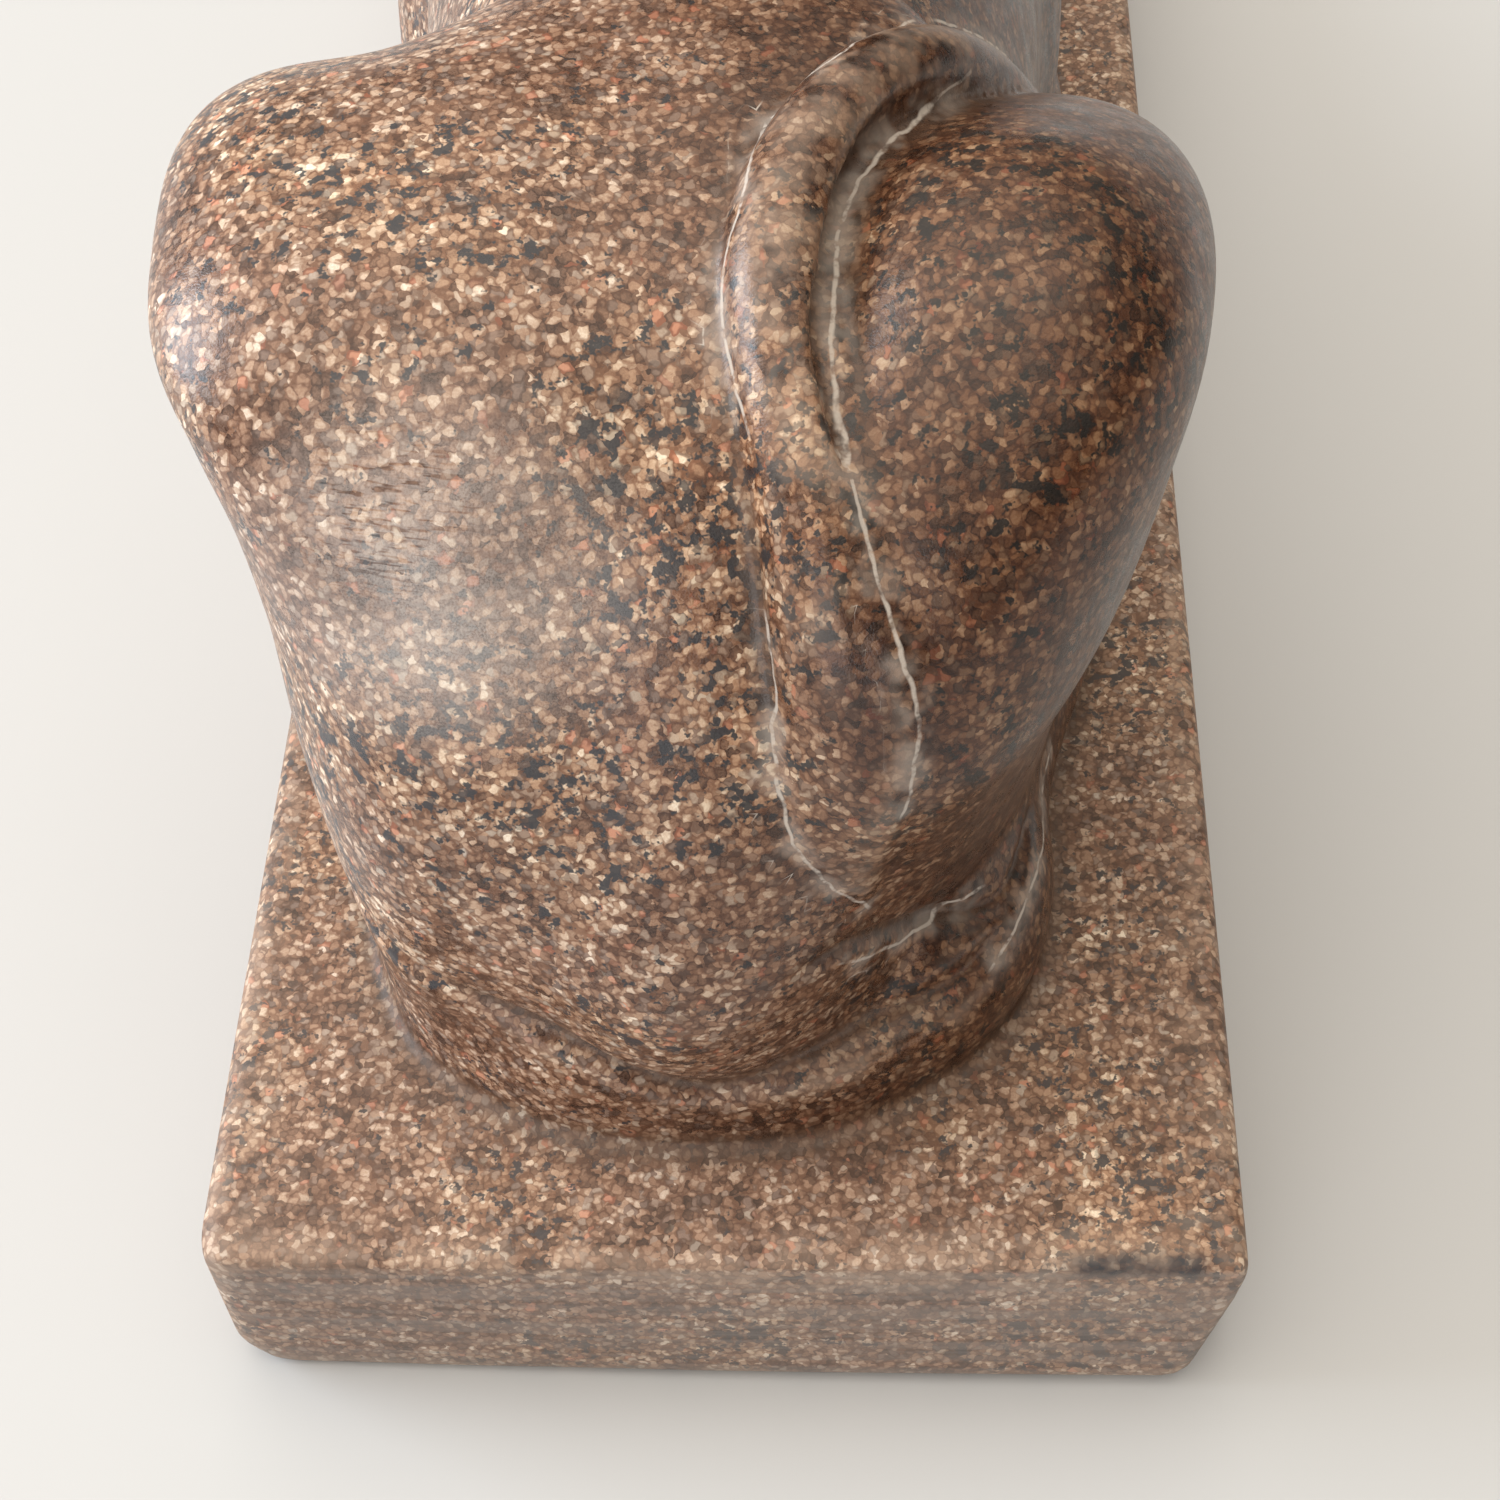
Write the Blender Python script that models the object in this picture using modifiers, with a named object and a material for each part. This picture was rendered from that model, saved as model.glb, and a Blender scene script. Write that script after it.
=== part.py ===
"""A recumbent sphinx on its plinth, carved from one block of speckled granite.

The figure is drawn on a square grid, as stone carvers draw one on a block. A place on the
grid is (side, forward, up) in squares: side is positive to the sphinx's right, forward runs
towards the paws, and up starts at the top of the plinth. The sphinx looks along -Y.
"""

import math

import bmesh
import bpy
import numpy as np
import openvdb as vdb
from mathutils import Vector

# Sizes of the block, in metres
FIGURE_LENGTH = 0.476
PLINTH_HEIGHT = 0.046
END_LEDGE = 0.0255
SIDE_LEDGE = 0.0115
PLINTH_ARRIS = 0.0035
REAR_LEAN = 0.0034

# The carver's grid: where the figure starts and ends on it, and how wide its haunches are
GRID_REAR = 0.12
GRID_FRONT = 2.50
GRID_WIDTH = 0.90
CROWN = 1.60
SQUARE = FIGURE_LENGTH / (GRID_FRONT - GRID_REAR)
PLINTH_LENGTH = FIGURE_LENGTH + 2 * END_LEDGE + REAR_LEAN
PLINTH_WIDTH = GRID_WIDTH * SQUARE + 2 * SIDE_LEDGE

# Pleats of the headcloth, in squares
PLEAT_PITCH = 0.062
PLEAT_DEPTH = 0.007
PLEAT_GROOVE = 0.012
PLEAT_SLANT = 0.5
PLEAT_FADE = 0.10

# How softly one form runs into the next, in squares
CRISP = 0.010
CLOSE = 0.02
SOFT = 0.03
EASY = 0.06
FULL = 0.09

# Working of the block
RING = 96
REACH = 0.022
LEAST_RADIUS = 0.002
GRAIN = 0.0025
MOST_TRIANGLES = 9800
GRANITE = (0.30, 0.20, 0.15, 1.0)
POLISH = 0.32
SHARP_FROM = 40


def at(side, forward, up):
    """A place on the grid, in metres."""
    rear = PLINTH_LENGTH / 2 - REAR_LEAN - END_LEDGE
    return Vector((-side * SQUARE, rear - (forward - GRID_REAR) * SQUARE, PLINTH_HEIGHT + up * SQUARE))


def clear_scene():
    for obj in list(bpy.data.objects):
        bpy.data.objects.remove(obj)


def new_object(name, mesh):
    obj = bpy.data.objects.new(name, mesh)
    bpy.context.scene.collection.objects.link(obj)
    return obj


def ellipsoid(centre, radii, tilt=0.0, turn=0.0):
    """A sphere stretched to radii (side, forward, up), tilted about the side axis and turned about up."""
    bpy.ops.mesh.primitive_uv_sphere_add(segments=48, ring_count=24, radius=SQUARE)
    obj = bpy.context.object
    obj.scale = radii
    obj.rotation_euler = (math.radians(tilt), 0, math.radians(turn))
    obj.location = at(*centre)
    return obj


def superellipse(power, count=RING):
    """Points round a unit superellipse, from round at power 2 to nearly square."""
    for i in range(count):
        angle = math.tau * i / count
        c, s = math.cos(angle), math.sin(angle)
        yield math.copysign(abs(c) ** (2 / power), c), math.copysign(abs(s) ** (2 / power), s)


def skin(name, rings):
    """A closed mesh through rings of points, each with the same number of points."""
    shape = bmesh.new()
    loops = [[shape.verts.new(p) for p in ring] for ring in rings]
    for low, high in zip(loops, loops[1:]):
        for i in range(len(low)):
            j = (i + 1) % len(low)
            shape.faces.new((low[i], low[j], high[j], high[i]))
    shape.faces.new(reversed(loops[0]))
    shape.faces.new(loops[-1])
    bmesh.ops.recalc_face_normals(shape, faces=shape.faces)
    mesh = bpy.data.meshes.new(name)
    shape.to_mesh(mesh)
    shape.free()
    return new_object(name, mesh)


def smooth_stations(stations, steps=6):
    """More stations between the given ones, on a smooth curve through them."""
    rows = np.array(stations, float)
    ends = np.vstack([2 * rows[0] - rows[1], rows, 2 * rows[-1] - rows[-2]])
    made = []
    for i in range(1, len(ends) - 2):
        a, b, c, d = ends[i - 1:i + 3]
        for k in range(steps):
            t = k / steps
            made.append(0.5 * (2 * b + (c - a) * t + (2 * a - 5 * b + 4 * c - d) * t ** 2
                               + (3 * b - a - 3 * c + d) * t ** 3))
    made.append(rows[-1])
    return made


def loft_along(name, stations):
    """A form of upright sections: (forward, half width, lowest, highest, power)."""
    rings = []
    for forward, wide, low, high, power in smooth_stations(stations):
        middle, half = (low + high) / 2, (high - low) / 2
        rings.append([at(wide * x, forward, middle + half * y) for x, y in superellipse(power)])
    return skin(name, rings)


def loft_up(name, stations, flip=1):
    """A form of level sections: (up, side, forward, half width, half length, power, splay)."""
    rings = []
    for up, side, forward, wide, long, power, splay in smooth_stations(stations):
        ring = []
        for x, y in superellipse(power):
            ring.append(at(flip * (side + wide * x + splay * long * y), forward + long * y, up))
        rings.append(ring)
    return skin(name, rings)


def limb(name, stations, flip=1):
    """A round tapering form along a bent line: (side, forward, up, radius)."""
    curve = bpy.data.curves.new(name, "CURVE")
    curve.dimensions = "3D"
    curve.bevel_depth = SQUARE
    curve.bevel_resolution = 6
    curve.use_fill_caps = True
    rows = smooth_stations(stations)
    spline = curve.splines.new("POLY")
    spline.points.add(len(rows) - 1)
    for point, (side, forward, up, radius) in zip(spline.points, rows):
        point.co = (*at(flip * side, forward, up), 1)
        point.radius = max(radius, LEAST_RADIUS)
    obj = new_object(name, curve)
    solid = bpy.data.meshes.new_from_object(obj.evaluated_get(bpy.context.evaluated_depsgraph_get()))
    bpy.data.objects.remove(obj)
    return new_object(name, solid)


class Block:
    """The stone as a grid of distances to its surface, negative inside."""

    def __init__(self, grain):
        self.grain = grain
        self.scale = vdb.createLinearTransform(voxelSize=grain)
        low = np.array((-PLINTH_WIDTH / 2, -PLINTH_LENGTH / 2, 0)) - REACH
        high = np.array((PLINTH_WIDTH / 2, PLINTH_LENGTH / 2, at(0, 0, CROWN).z)) + REACH
        self.start = np.floor(low / grain).astype(int)
        self.size = np.ceil(high / grain).astype(int) - self.start
        self.distance = np.full(self.size, REACH, np.float32)
        origin = at(0, 0, 0)
        ends = zip(self.start, self.start + self.size)
        x, y, z = (line * grain for line in np.ogrid[tuple(slice(a, b) for a, b in ends)])
        self.side = (origin.x - x) / SQUARE
        self.forward = (origin.y - y) / SQUARE
        self.up = (z - origin.z) / SQUARE

    def measure(self, obj):
        """Where in the grid a mesh object reaches, and the distances to it there. It removes the object."""
        graph = bpy.context.evaluated_depsgraph_get()
        made = obj.evaluated_get(graph)
        mesh = made.to_mesh()
        mesh.calc_loop_triangles()
        points = np.empty(len(mesh.vertices) * 3, np.float32)
        mesh.vertices.foreach_get("co", points)
        triangles = np.empty(len(mesh.loop_triangles) * 3, np.int32)
        mesh.loop_triangles.foreach_get("vertices", triangles)
        world = np.array(made.matrix_world, np.float64)
        points = points.reshape(-1, 3) @ world[:3, :3].T + world[:3, 3]
        made.to_mesh_clear()
        bpy.data.objects.remove(obj)
        grid = vdb.FloatGrid.createLevelSetFromPolygons(
            points.astype(np.float32), triangles=triangles.reshape(-1, 3).astype(np.uint32),
            transform=self.scale, halfWidth=REACH / self.grain)
        low = np.floor((points.min(axis=0) - REACH) / self.grain).astype(int) - self.start
        high = np.ceil((points.max(axis=0) + REACH) / self.grain).astype(int) - self.start
        low, high = np.maximum(low, 0), np.minimum(high, self.size)
        found = np.empty(high - low, np.float32)
        grid.copyToArray(found, ijk=tuple(int(n) for n in self.start + low))
        return tuple(slice(a, b) for a, b in zip(low, high)), found

    def add(self, obj, fillet, lines=None, worn=(), relief=None):
        """Joins a form to the stone with a fillet, after lines and worn planes are cut into the form.

        With a relief, the form stands no higher than that above the stone.
        """
        window, found = self.measure(obj)
        side, forward, up = self.side[window[0]], self.forward[:, window[1]], self.up[:, :, window[2]]
        if lines:
            found = found + SQUARE * lines(side, up)
        for place, outward, ease in worn:
            a, b, c = Vector(outward).normalized()
            beyond = SQUARE * (a * (side - place[0]) + b * (forward - place[1]) + c * (up - place[2]))
            found = -blended(-found, -beyond, ease * SQUARE)
        if relief:
            found = -blended(-found, relief * SQUARE - self.distance[window], CLOSE * SQUARE)
        self.distance[window] = blended(self.distance[window], found, fillet * SQUARE)

    def cut(self, obj, ease):
        """Takes a form out of the stone, with its edges eased."""
        window, found = self.measure(obj)
        self.distance[window] = -blended(-self.distance[window], found, ease * SQUARE)

    def lay(self, line, facing=-1):
        """Stations for a limb on a line, (side, up, radius), along the stone's rear or, facing 1, front."""
        stations = []
        for side, up, radius in line:
            x, _, z = np.array(at(side, 0, up)) / self.grain - self.start
            i, k = int(x), int(z)
            shares = (i + 1 - x, x - i), (k + 1 - z, z - k)
            column = np.einsum("i,ijk,k", shares[0], self.distance[i:i + 2, :, k:k + 2], shares[1])
            inside = np.flatnonzero(column < 0)
            j = inside[0] if facing > 0 else inside[-1]
            share = column[j] / (column[j] - column[j - facing])
            forward = self.forward[0, j, 0] + share * facing * self.grain / SQUARE
            stations.append((side, forward, up, radius))
        return stations

    def surface(self, name):
        """The stone's skin as a mesh object."""
        grid = vdb.FloatGrid(REACH)
        grid.transform = self.scale
        grid.copyFromArray(self.distance, ijk=tuple(int(n) for n in self.start))
        points, quads = grid.convertToQuads(isovalue=0.0)
        mesh = bpy.data.meshes.new(name)
        mesh.from_pydata(points.tolist(), [], quads.tolist())
        return new_object(name, mesh)


def blended(a, b, fillet):
    """The nearer of two distances, eased over a fillet where they are alike."""
    ease = np.clip(0.5 + 0.5 * (b - a) / fillet, 0, 1)
    return b + (a - b) * ease - fillet * ease * (1 - ease)


def pleats(side, up, slant):
    """Depth of even grooves across a cloth, which slope down to its sides."""
    run = (up + slant * abs(side)) / PLEAT_PITCH
    across = abs(run - np.round(run)) * PLEAT_PITCH
    return PLEAT_DEPTH * np.exp(-(across / PLEAT_GROOVE) ** 2)


def level_pleats(side, up):
    return pleats(side, up, 0)


def sloping_pleats(side, up):
    """Pleats that fade out on the crown."""
    return pleats(side, up, PLEAT_SLANT) * np.clip((CROWN - up) / PLEAT_FADE - 1, 0, 1)


# Forms of the figure, in squares of the grid
TORSO = (
    (0.45, 0.20, -0.06, 0.80, 2.2),
    (0.65, 0.300, -0.08, 0.835, 2.1),
    (0.90, 0.318, -0.08, 0.82, 2.0),
    (1.15, 0.335, -0.08, 0.82, 2.1),
    (1.40, 0.352, -0.08, 0.855, 2.2),
    (1.60, 0.355, -0.06, 0.90, 2.2),
    (1.76, 0.325, 0.00, 0.92, 2.2),
    (1.87, 0.260, 0.10, 0.87, 2.1),
    (1.935, 0.150, 0.25, 0.71, 2.0),
    (1.955, 0.060, 0.39, 0.57, 2.0),
)

RUMP = (
    (-0.06, -0.02, 0.52, 0.315, 0.370, 2.0, 0),
    (0.08, -0.02, 0.52, 0.315, 0.384, 1.85, 0),
    (0.18, -0.025, 0.52, 0.322, 0.418, 1.72, 0),
    (0.28, -0.025, 0.52, 0.326, 0.430, 1.78, 0),
    (0.40, -0.015, 0.53, 0.332, 0.412, 1.95, 0),
    (0.50, 0, 0.54, 0.335, 0.387, 2.1, 0),
    (0.60, 0, 0.56, 0.33, 0.36, 2.2, 0),
    (0.70, 0, 0.60, 0.31, 0.34, 2.2, 0),
    (0.76, 0, 0.63, 0.28, 0.32, 2.2, 0),
    (0.81, 0, 0.66, 0.23, 0.28, 2.2, 0),
    (0.845, 0, 0.68, 0.15, 0.20, 2.0, 0),
    (0.855, 0, 0.68, 0.05, 0.07, 2.0, 0),
)

LEFT_THIGH = (
    (-0.06, 0.232, 0.50, 0.126, 0.290, 2.4, 0.02),
    (0.08, 0.236, 0.50, 0.130, 0.300, 2.4, 0.03),
    (0.18, 0.242, 0.50, 0.138, 0.318, 2.4, 0.05),
    (0.28, 0.249, 0.51, 0.148, 0.340, 2.3, 0.08),
    (0.40, 0.254, 0.52, 0.157, 0.356, 2.3, 0.12),
    (0.52, 0.257, 0.54, 0.167, 0.360, 2.3, 0.16),
    (0.64, 0.262, 0.558, 0.176, 0.335, 2.4, 0.14),
    (0.73, 0.264, 0.560, 0.187, 0.300, 2.6, 0.11),
    (0.79, 0.262, 0.556, 0.194, 0.245, 2.9, 0.08),
    (0.83, 0.258, 0.550, 0.164, 0.195, 2.6, 0.06),
    (0.86, 0.254, 0.545, 0.105, 0.130, 2.2, 0.04),
    (0.87, 0.254, 0.545, 0.030, 0.04, 2.0, 0),
)

RIGHT_THIGH = (
    (-0.06, 0.215, 0.53, 0.110, 0.23, 2.3, 0.10),
    (0.08, 0.215, 0.53, 0.112, 0.24, 2.3, 0.14),
    (0.18, 0.220, 0.54, 0.118, 0.270, 2.3, 0.18),
    (0.28, 0.228, 0.54, 0.130, 0.325, 2.3, 0.22),
    (0.40, 0.238, 0.54, 0.147, 0.370, 2.3, 0.24),
    (0.52, 0.252, 0.53, 0.170, 0.380, 2.3, 0.22),
    (0.64, 0.260, 0.53, 0.185, 0.350, 2.3, 0.20),
    (0.73, 0.265, 0.520, 0.186, 0.285, 2.3, 0.14),
    (0.79, 0.270, 0.505, 0.163, 0.215, 2.3, 0.08),
    (0.83, 0.272, 0.495, 0.125, 0.155, 2.2, 0.04),
    (0.86, 0.272, 0.490, 0.080, 0.100, 2.2, 0),
    (0.875, 0.272, 0.490, 0.030, 0.04, 2.0, 0),
)

HEEL_BAND = (
    (-0.06, -0.020, 0.48, 0.352, 0.358, 2.3, 0),
    (0.00, -0.020, 0.48, 0.350, 0.356, 2.3, 0),
    (0.06, -0.020, 0.48, 0.350, 0.358, 2.3, 0),
    (0.10, -0.020, 0.48, 0.344, 0.355, 2.3, 0),
    (0.125, -0.020, 0.48, 0.32, 0.335, 2.3, 0),
)

LEFT_HEEL = (
    (-0.06, -0.020, 0.48, 0.350, 0.356, 2.3, 0),
    (0.10, -0.020, 0.48, 0.350, 0.356, 2.3, 0),
    (0.20, -0.020, 0.48, 0.350, 0.356, 2.3, 0),
    (0.30, -0.020, 0.48, 0.350, 0.352, 2.3, 0),
)

# The plane down which the left heel falls to the middle
HEEL_FALL = ((-0.03, 0, 0.100), (0.45, 0, 1), 0.02)

HIND_FOOT = (
    (0.235, 0.40, 0.060, 0.060),
    (0.270, 0.54, 0.063, 0.068),
    (0.325, 0.74, 0.066, 0.074),
    (0.352, 0.95, 0.062, 0.072),
    (0.360, 1.10, 0.055, 0.066),
    (0.360, 1.16, 0.045, 0.050),
)

TAIL = (
    (0.138, 0.245, 0.50, 0.045),
    (0.139, 0.222, 0.58, 0.060),
    (0.136, 0.245, 0.65, 0.063),
    (0.125, 0.288, 0.71, 0.060),
    (0.108, 0.335, 0.76, 0.055),
    (0.094, 0.385, 0.797, 0.050),
    (0.086, 0.450, 0.830, 0.047),
    (0.093, 0.520, 0.845, 0.045),
    (0.116, 0.590, 0.852, 0.043),
    (0.148, 0.650, 0.852, 0.040),
    (0.188, 0.700, 0.838, 0.039),
    (0.226, 0.748, 0.802, 0.038),
    (0.262, 0.805, 0.735, 0.037),
    (0.298, 0.870, 0.640, 0.036),
    (0.332, 0.945, 0.520, 0.035),
    (0.360, 1.015, 0.400, 0.036),
    (0.376, 1.070, 0.285, 0.044),
    (0.380, 1.100, 0.185, 0.048),
    (0.380, 1.115, 0.105, 0.030),
)

TAIL_END = (
    (0.148, 0.172, 0.350, 0.010),
    (0.144, 0.158, 0.410, 0.026),
    (0.137, 0.154, 0.470, 0.045),
    (0.138, 0.160, 0.540, 0.058),
    (0.142, 0.176, 0.600, 0.063),
    (0.138, 0.196, 0.650, 0.059),
    (0.128, 0.225, 0.690, 0.050),
    (0.112, 0.262, 0.740, 0.040),
)

# How far the tail's end stands above the haunch
TAIL_RELIEF = 0.011

UPPER_ARM = (
    (0.270, 1.64, 0.66, 0.080),
    (0.290, 1.56, 0.52, 0.110),
    (0.300, 1.46, 0.36, 0.118),
    (0.296, 1.37, 0.21, 0.108),
    (0.290, 1.33, 0.12, 0.080),
)

FOREARM = (
    (0.292, 1.31, 0.11, 0.075),
    (0.288, 1.40, 0.125, 0.108),
    (0.272, 1.62, 0.125, 0.116),
    (0.245, 1.90, 0.110, 0.106),
    (0.224, 2.15, 0.098, 0.098),
    (0.218, 2.32, 0.090, 0.094),
)

HEADCLOTH = (
    (0.84, 0, 1.61, 0.18, 0.10, 2.2, 0),
    (0.885, 0, 1.635, 0.27, 0.150, 2.4, 0),
    (0.92, 0, 1.655, 0.315, 0.180, 2.8, 0),
    (0.98, 0, 1.675, 0.330, 0.185, 3.0, 0),
    (1.08, 0, 1.71, 0.322, 0.175, 3.0, 0),
    (1.18, 0, 1.735, 0.300, 0.172, 3.0, 0),
    (1.28, 0, 1.755, 0.272, 0.178, 2.8, 0),
    (1.37, 0, 1.772, 0.240, 0.190, 2.5, 0),
    (1.44, 0, 1.785, 0.208, 0.190, 2.3, 0),
    (1.50, 0, 1.79, 0.165, 0.165, 2.1, 0),
    (1.545, 0, 1.79, 0.105, 0.110, 2.0, 0),
    (1.565, 0, 1.79, 0.035, 0.035, 2.0, 0),
)

QUEUE = (
    (0, 1.60, 1.12, 0.060),
    (0, 1.545, 1.02, 0.058),
    (0, 1.485, 0.94, 0.050),
    (0, 1.41, 0.885, 0.042),
    (0, 1.33, 0.845, 0.034),
    (0, 1.27, 0.815, 0.020),
)

BROW_BAND = (
    (0.206, 1.850, 1.350, 0.012),
    (0.188, 1.893, 1.370, 0.016),
    (0.125, 1.944, 1.390, 0.018),
    (0.060, 1.963, 1.398, 0.019),
    (0.000, 1.969, 1.400, 0.019),
    (-0.060, 1.963, 1.398, 0.019),
    (-0.125, 1.944, 1.390, 0.018),
    (-0.188, 1.893, 1.370, 0.016),
    (-0.206, 1.850, 1.350, 0.012),
)

NOSE = (
    (0, 1.964, 1.318, 0.017),
    (0, 1.984, 1.262, 0.021),
    (0, 2.000, 1.212, 0.025),
    (0, 2.002, 1.190, 0.026),
)

LAPPET = (
    (0.585, 0.150, 1.915, 0.060, 0.035, 3.0, 0),
    (0.61, 0.151, 1.925, 0.070, 0.040, 4.0, 0),
    (0.75, 0.160, 1.925, 0.080, 0.045, 4.0, 0),
    (0.88, 0.178, 1.895, 0.092, 0.050, 4.0, 0),
    (0.99, 0.200, 1.840, 0.105, 0.055, 4.0, 0),
    (1.10, 0.210, 1.780, 0.095, 0.050, 3.0, 0),
    (1.20, 0.200, 1.740, 0.060, 0.040, 2.5, 0),
)


# The groove between the tail and the right thigh: (side, forward, up, radius)
TAIL_CREASE = (
    (0.235, 0.682, 0.838, 0.006),
    (0.201, 0.642, 0.850, 0.010),
    (0.169, 0.600, 0.853, 0.013),
    (0.146, 0.556, 0.850, 0.014),
    (0.133, 0.495, 0.846, 0.014),
    (0.125, 0.440, 0.840, 0.014),
    (0.124, 0.385, 0.832, 0.013),
    (0.130, 0.335, 0.808, 0.010),
    (0.141, 0.290, 0.776, 0.006),
)

# Lines drawn on the rear, (side, up, radius): the hock, and the heels, whose line dips to a blunt point
HOCK_CREASE = (
    (0.085, 0.288, 0.003),
    (0.112, 0.291, 0.009),
    (0.145, 0.280, 0.012),
    (0.180, 0.236, 0.013),
    (0.210, 0.203, 0.013),
    (0.251, 0.182, 0.012),
    (0.285, 0.172, 0.008),
    (0.310, 0.168, 0.004),
)

HEEL_CREASE = (
    (-0.372, 0.245, 0.004),
    (-0.335, 0.240, 0.010),
    (-0.262, 0.214, 0.012),
    (-0.200, 0.192, 0.012),
    (-0.140, 0.166, 0.012),
    (-0.085, 0.136, 0.012),
    (-0.045, 0.111, 0.012),
    (-0.005, 0.099, 0.012),
    (0.040, 0.103, 0.012),
    (0.090, 0.115, 0.012),
    (0.179, 0.124, 0.011),
    (0.237, 0.139, 0.009),
    (0.275, 0.152, 0.004),
)

# Lines drawn on the face, (side, up, radius)
BROW = (
    (0.022, 1.318, 0.006),
    (0.052, 1.331, 0.009),
    (0.088, 1.332, 0.009),
    (0.122, 1.312, 0.005),
)

UPPER_LID = (
    (0.030, 1.259, 0.005),
    (0.047, 1.276, 0.008),
    (0.070, 1.284, 0.009),
    (0.094, 1.278, 0.008),
    (0.116, 1.260, 0.005),
)

LOWER_LID = (
    (0.032, 1.257, 0.004),
    (0.050, 1.247, 0.006),
    (0.071, 1.243, 0.007),
    (0.093, 1.248, 0.006),
    (0.114, 1.259, 0.004),
)

MOUTH = (
    (-0.052, 1.122, 0.003),
    (-0.025, 1.118, 0.005),
    (0.000, 1.120, 0.005),
    (0.025, 1.118, 0.005),
    (0.052, 1.122, 0.003),
)

# Round masses: (side, forward, up), (half width, half length, half height)
RIGHT_KNEE = (0.265, 0.78, 0.36), (0.12, 0.29, 0.27)
LEFT_KNEE = (-0.285, 0.78, 0.36), (0.12, 0.29, 0.27)
RIGHT_HEEL = (0.186, 0.38, 0.08), (0.146, 0.186, 0.150)
FORE_PAW = (0.218, 2.345, 0.080), (0.116, 0.155, 0.098)
HIND_PAW = (0.360, 1.15, 0.050), (0.078, 0.110, 0.074)
NECK = (0, 1.74, 1.00), (0.16, 0.17, 0.22)
FACE = (0, 1.830, 1.245), (0.158, 0.155, 0.230)
JAW = (0, 1.880, 1.120), (0.108, 0.100, 0.092)
CHIN = (0, 1.958, 1.055), (0.042, 0.032, 0.032)
CHEEK = (0.080, 1.925, 1.185), (0.052, 0.040, 0.058)
EYE_SOCKET = (0.070, 2.002, 1.270), (0.054, 0.046, 0.030)
EYE = (0.071, 1.946, 1.265), (0.044, 0.025, 0.021)
NOSTRIL = (0.025, 1.984, 1.182), (0.017, 0.024, 0.015)
EAR = (0.180, 1.900, 1.238), (0.028, 0.020, 0.052)
EAR_HOLLOW = (0.178, 1.927, 1.243), (0.015, 0.013, 0.034)
UPPER_LIP = (0, 1.970, 1.131), (0.047, 0.022, 0.012)
LOWER_LIP = (0, 1.969, 1.105), (0.038, 0.023, 0.014)
KNEE_TILT = -25
EAR_TURN = 15
TOES = (-1, 0, 1)

# Grooves between the toes: shares of the paw's width and reach, and degrees round its front
TOE_SPACING = 0.47
TOE_GROOVE = 0.17
TOE_PROUD = 1.03
TOE_ANGLES = range(65, -44, -18)

# How much nearer the middle each shoulder sits than the arm's own line
RIGHT_SHOULDER_IN = 0.048
LEFT_SHOULDER_IN = 0.010

# Edges of the plinth on the grid
REAR = GRID_REAR - END_LEDGE / SQUARE
FRONT = GRID_FRONT + END_LEDGE / SQUARE
EDGE = PLINTH_WIDTH / SQUARE / 2
BASE = -PLINTH_HEIGHT / SQUARE

# Planes that wear has taken off the plinth: a place in the plane, the way it faces, and how softly it ends
WORN = (
    ((0, REAR, 0), (0, -1, REAR_LEAN / PLINTH_HEIGHT), 0.003),
    ((-EDGE, REAR, 0), (-0.033, -1, -0.022), 0.012),
    ((-EDGE + 0.016, REAR, 0), (-1, -1, 0), 0.028),
    ((-EDGE + 0.048, REAR, BASE), (-1, -1, -1), 0.02),
    ((-EDGE + 0.004, 0, 0), (-1, 0, 1), 0.024),
    ((-EDGE + 0.012, 0, BASE), (-1, 0, -1), 0.02),
    ((0, REAR, BASE), (0, -1, -1), 0.016),
    ((EDGE, REAR, -0.02), (1, -0.6, -0.22), 0.01),
    ((EDGE - 0.065, REAR, BASE), (1, -1, -1), 0.006),
    ((-EDGE + 0.022, FRONT, 0), (-1, 1, 0), 0.03),
    ((EDGE - 0.018, FRONT, 0), (1, 1, 0), 0.02),
)


def plinth():
    """The block under the figure."""
    bpy.ops.mesh.primitive_cube_add(size=1)
    obj = bpy.context.object
    obj.scale = (PLINTH_WIDTH, PLINTH_LENGTH, PLINTH_HEIGHT)
    obj.location = (0, 0, PLINTH_HEIGHT / 2)
    bpy.ops.object.transform_apply(scale=True)
    edges = obj.modifiers.new("arris", "BEVEL")
    edges.width = PLINTH_ARRIS
    edges.segments = 3
    return obj


def hindquarters(stone):
    stone.add(loft_along("torso", TORSO), CRISP)
    stone.add(loft_up("rump", RUMP), EASY)
    stone.add(loft_up("left thigh", LEFT_THIGH, -1), FULL)
    stone.add(loft_up("right thigh", RIGHT_THIGH, 1), CLOSE)
    for side, knee in ((1, RIGHT_KNEE), (-1, LEFT_KNEE)):
        stone.add(ellipsoid(*knee, tilt=KNEE_TILT), FULL)
        stone.add(limb("hind foot", HIND_FOOT, side), SOFT)
    stone.add(loft_up("heel band", HEEL_BAND), CLOSE)
    stone.add(ellipsoid(*RIGHT_HEEL), SOFT)
    stone.add(loft_up("left heel", LEFT_HEEL), CRISP, worn=(HEEL_FALL,))
    stone.add(limb("tail end", TAIL_END), CRISP, relief=TAIL_RELIEF)
    stone.add(limb("tail", TAIL), CRISP)
    stone.cut(limb("tail crease", TAIL_CREASE), CRISP)
    stone.cut(limb("hock crease", stone.lay(HOCK_CREASE)), CRISP)
    stone.cut(limb("heel crease", stone.lay(HEEL_CREASE)), CLOSE)


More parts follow.
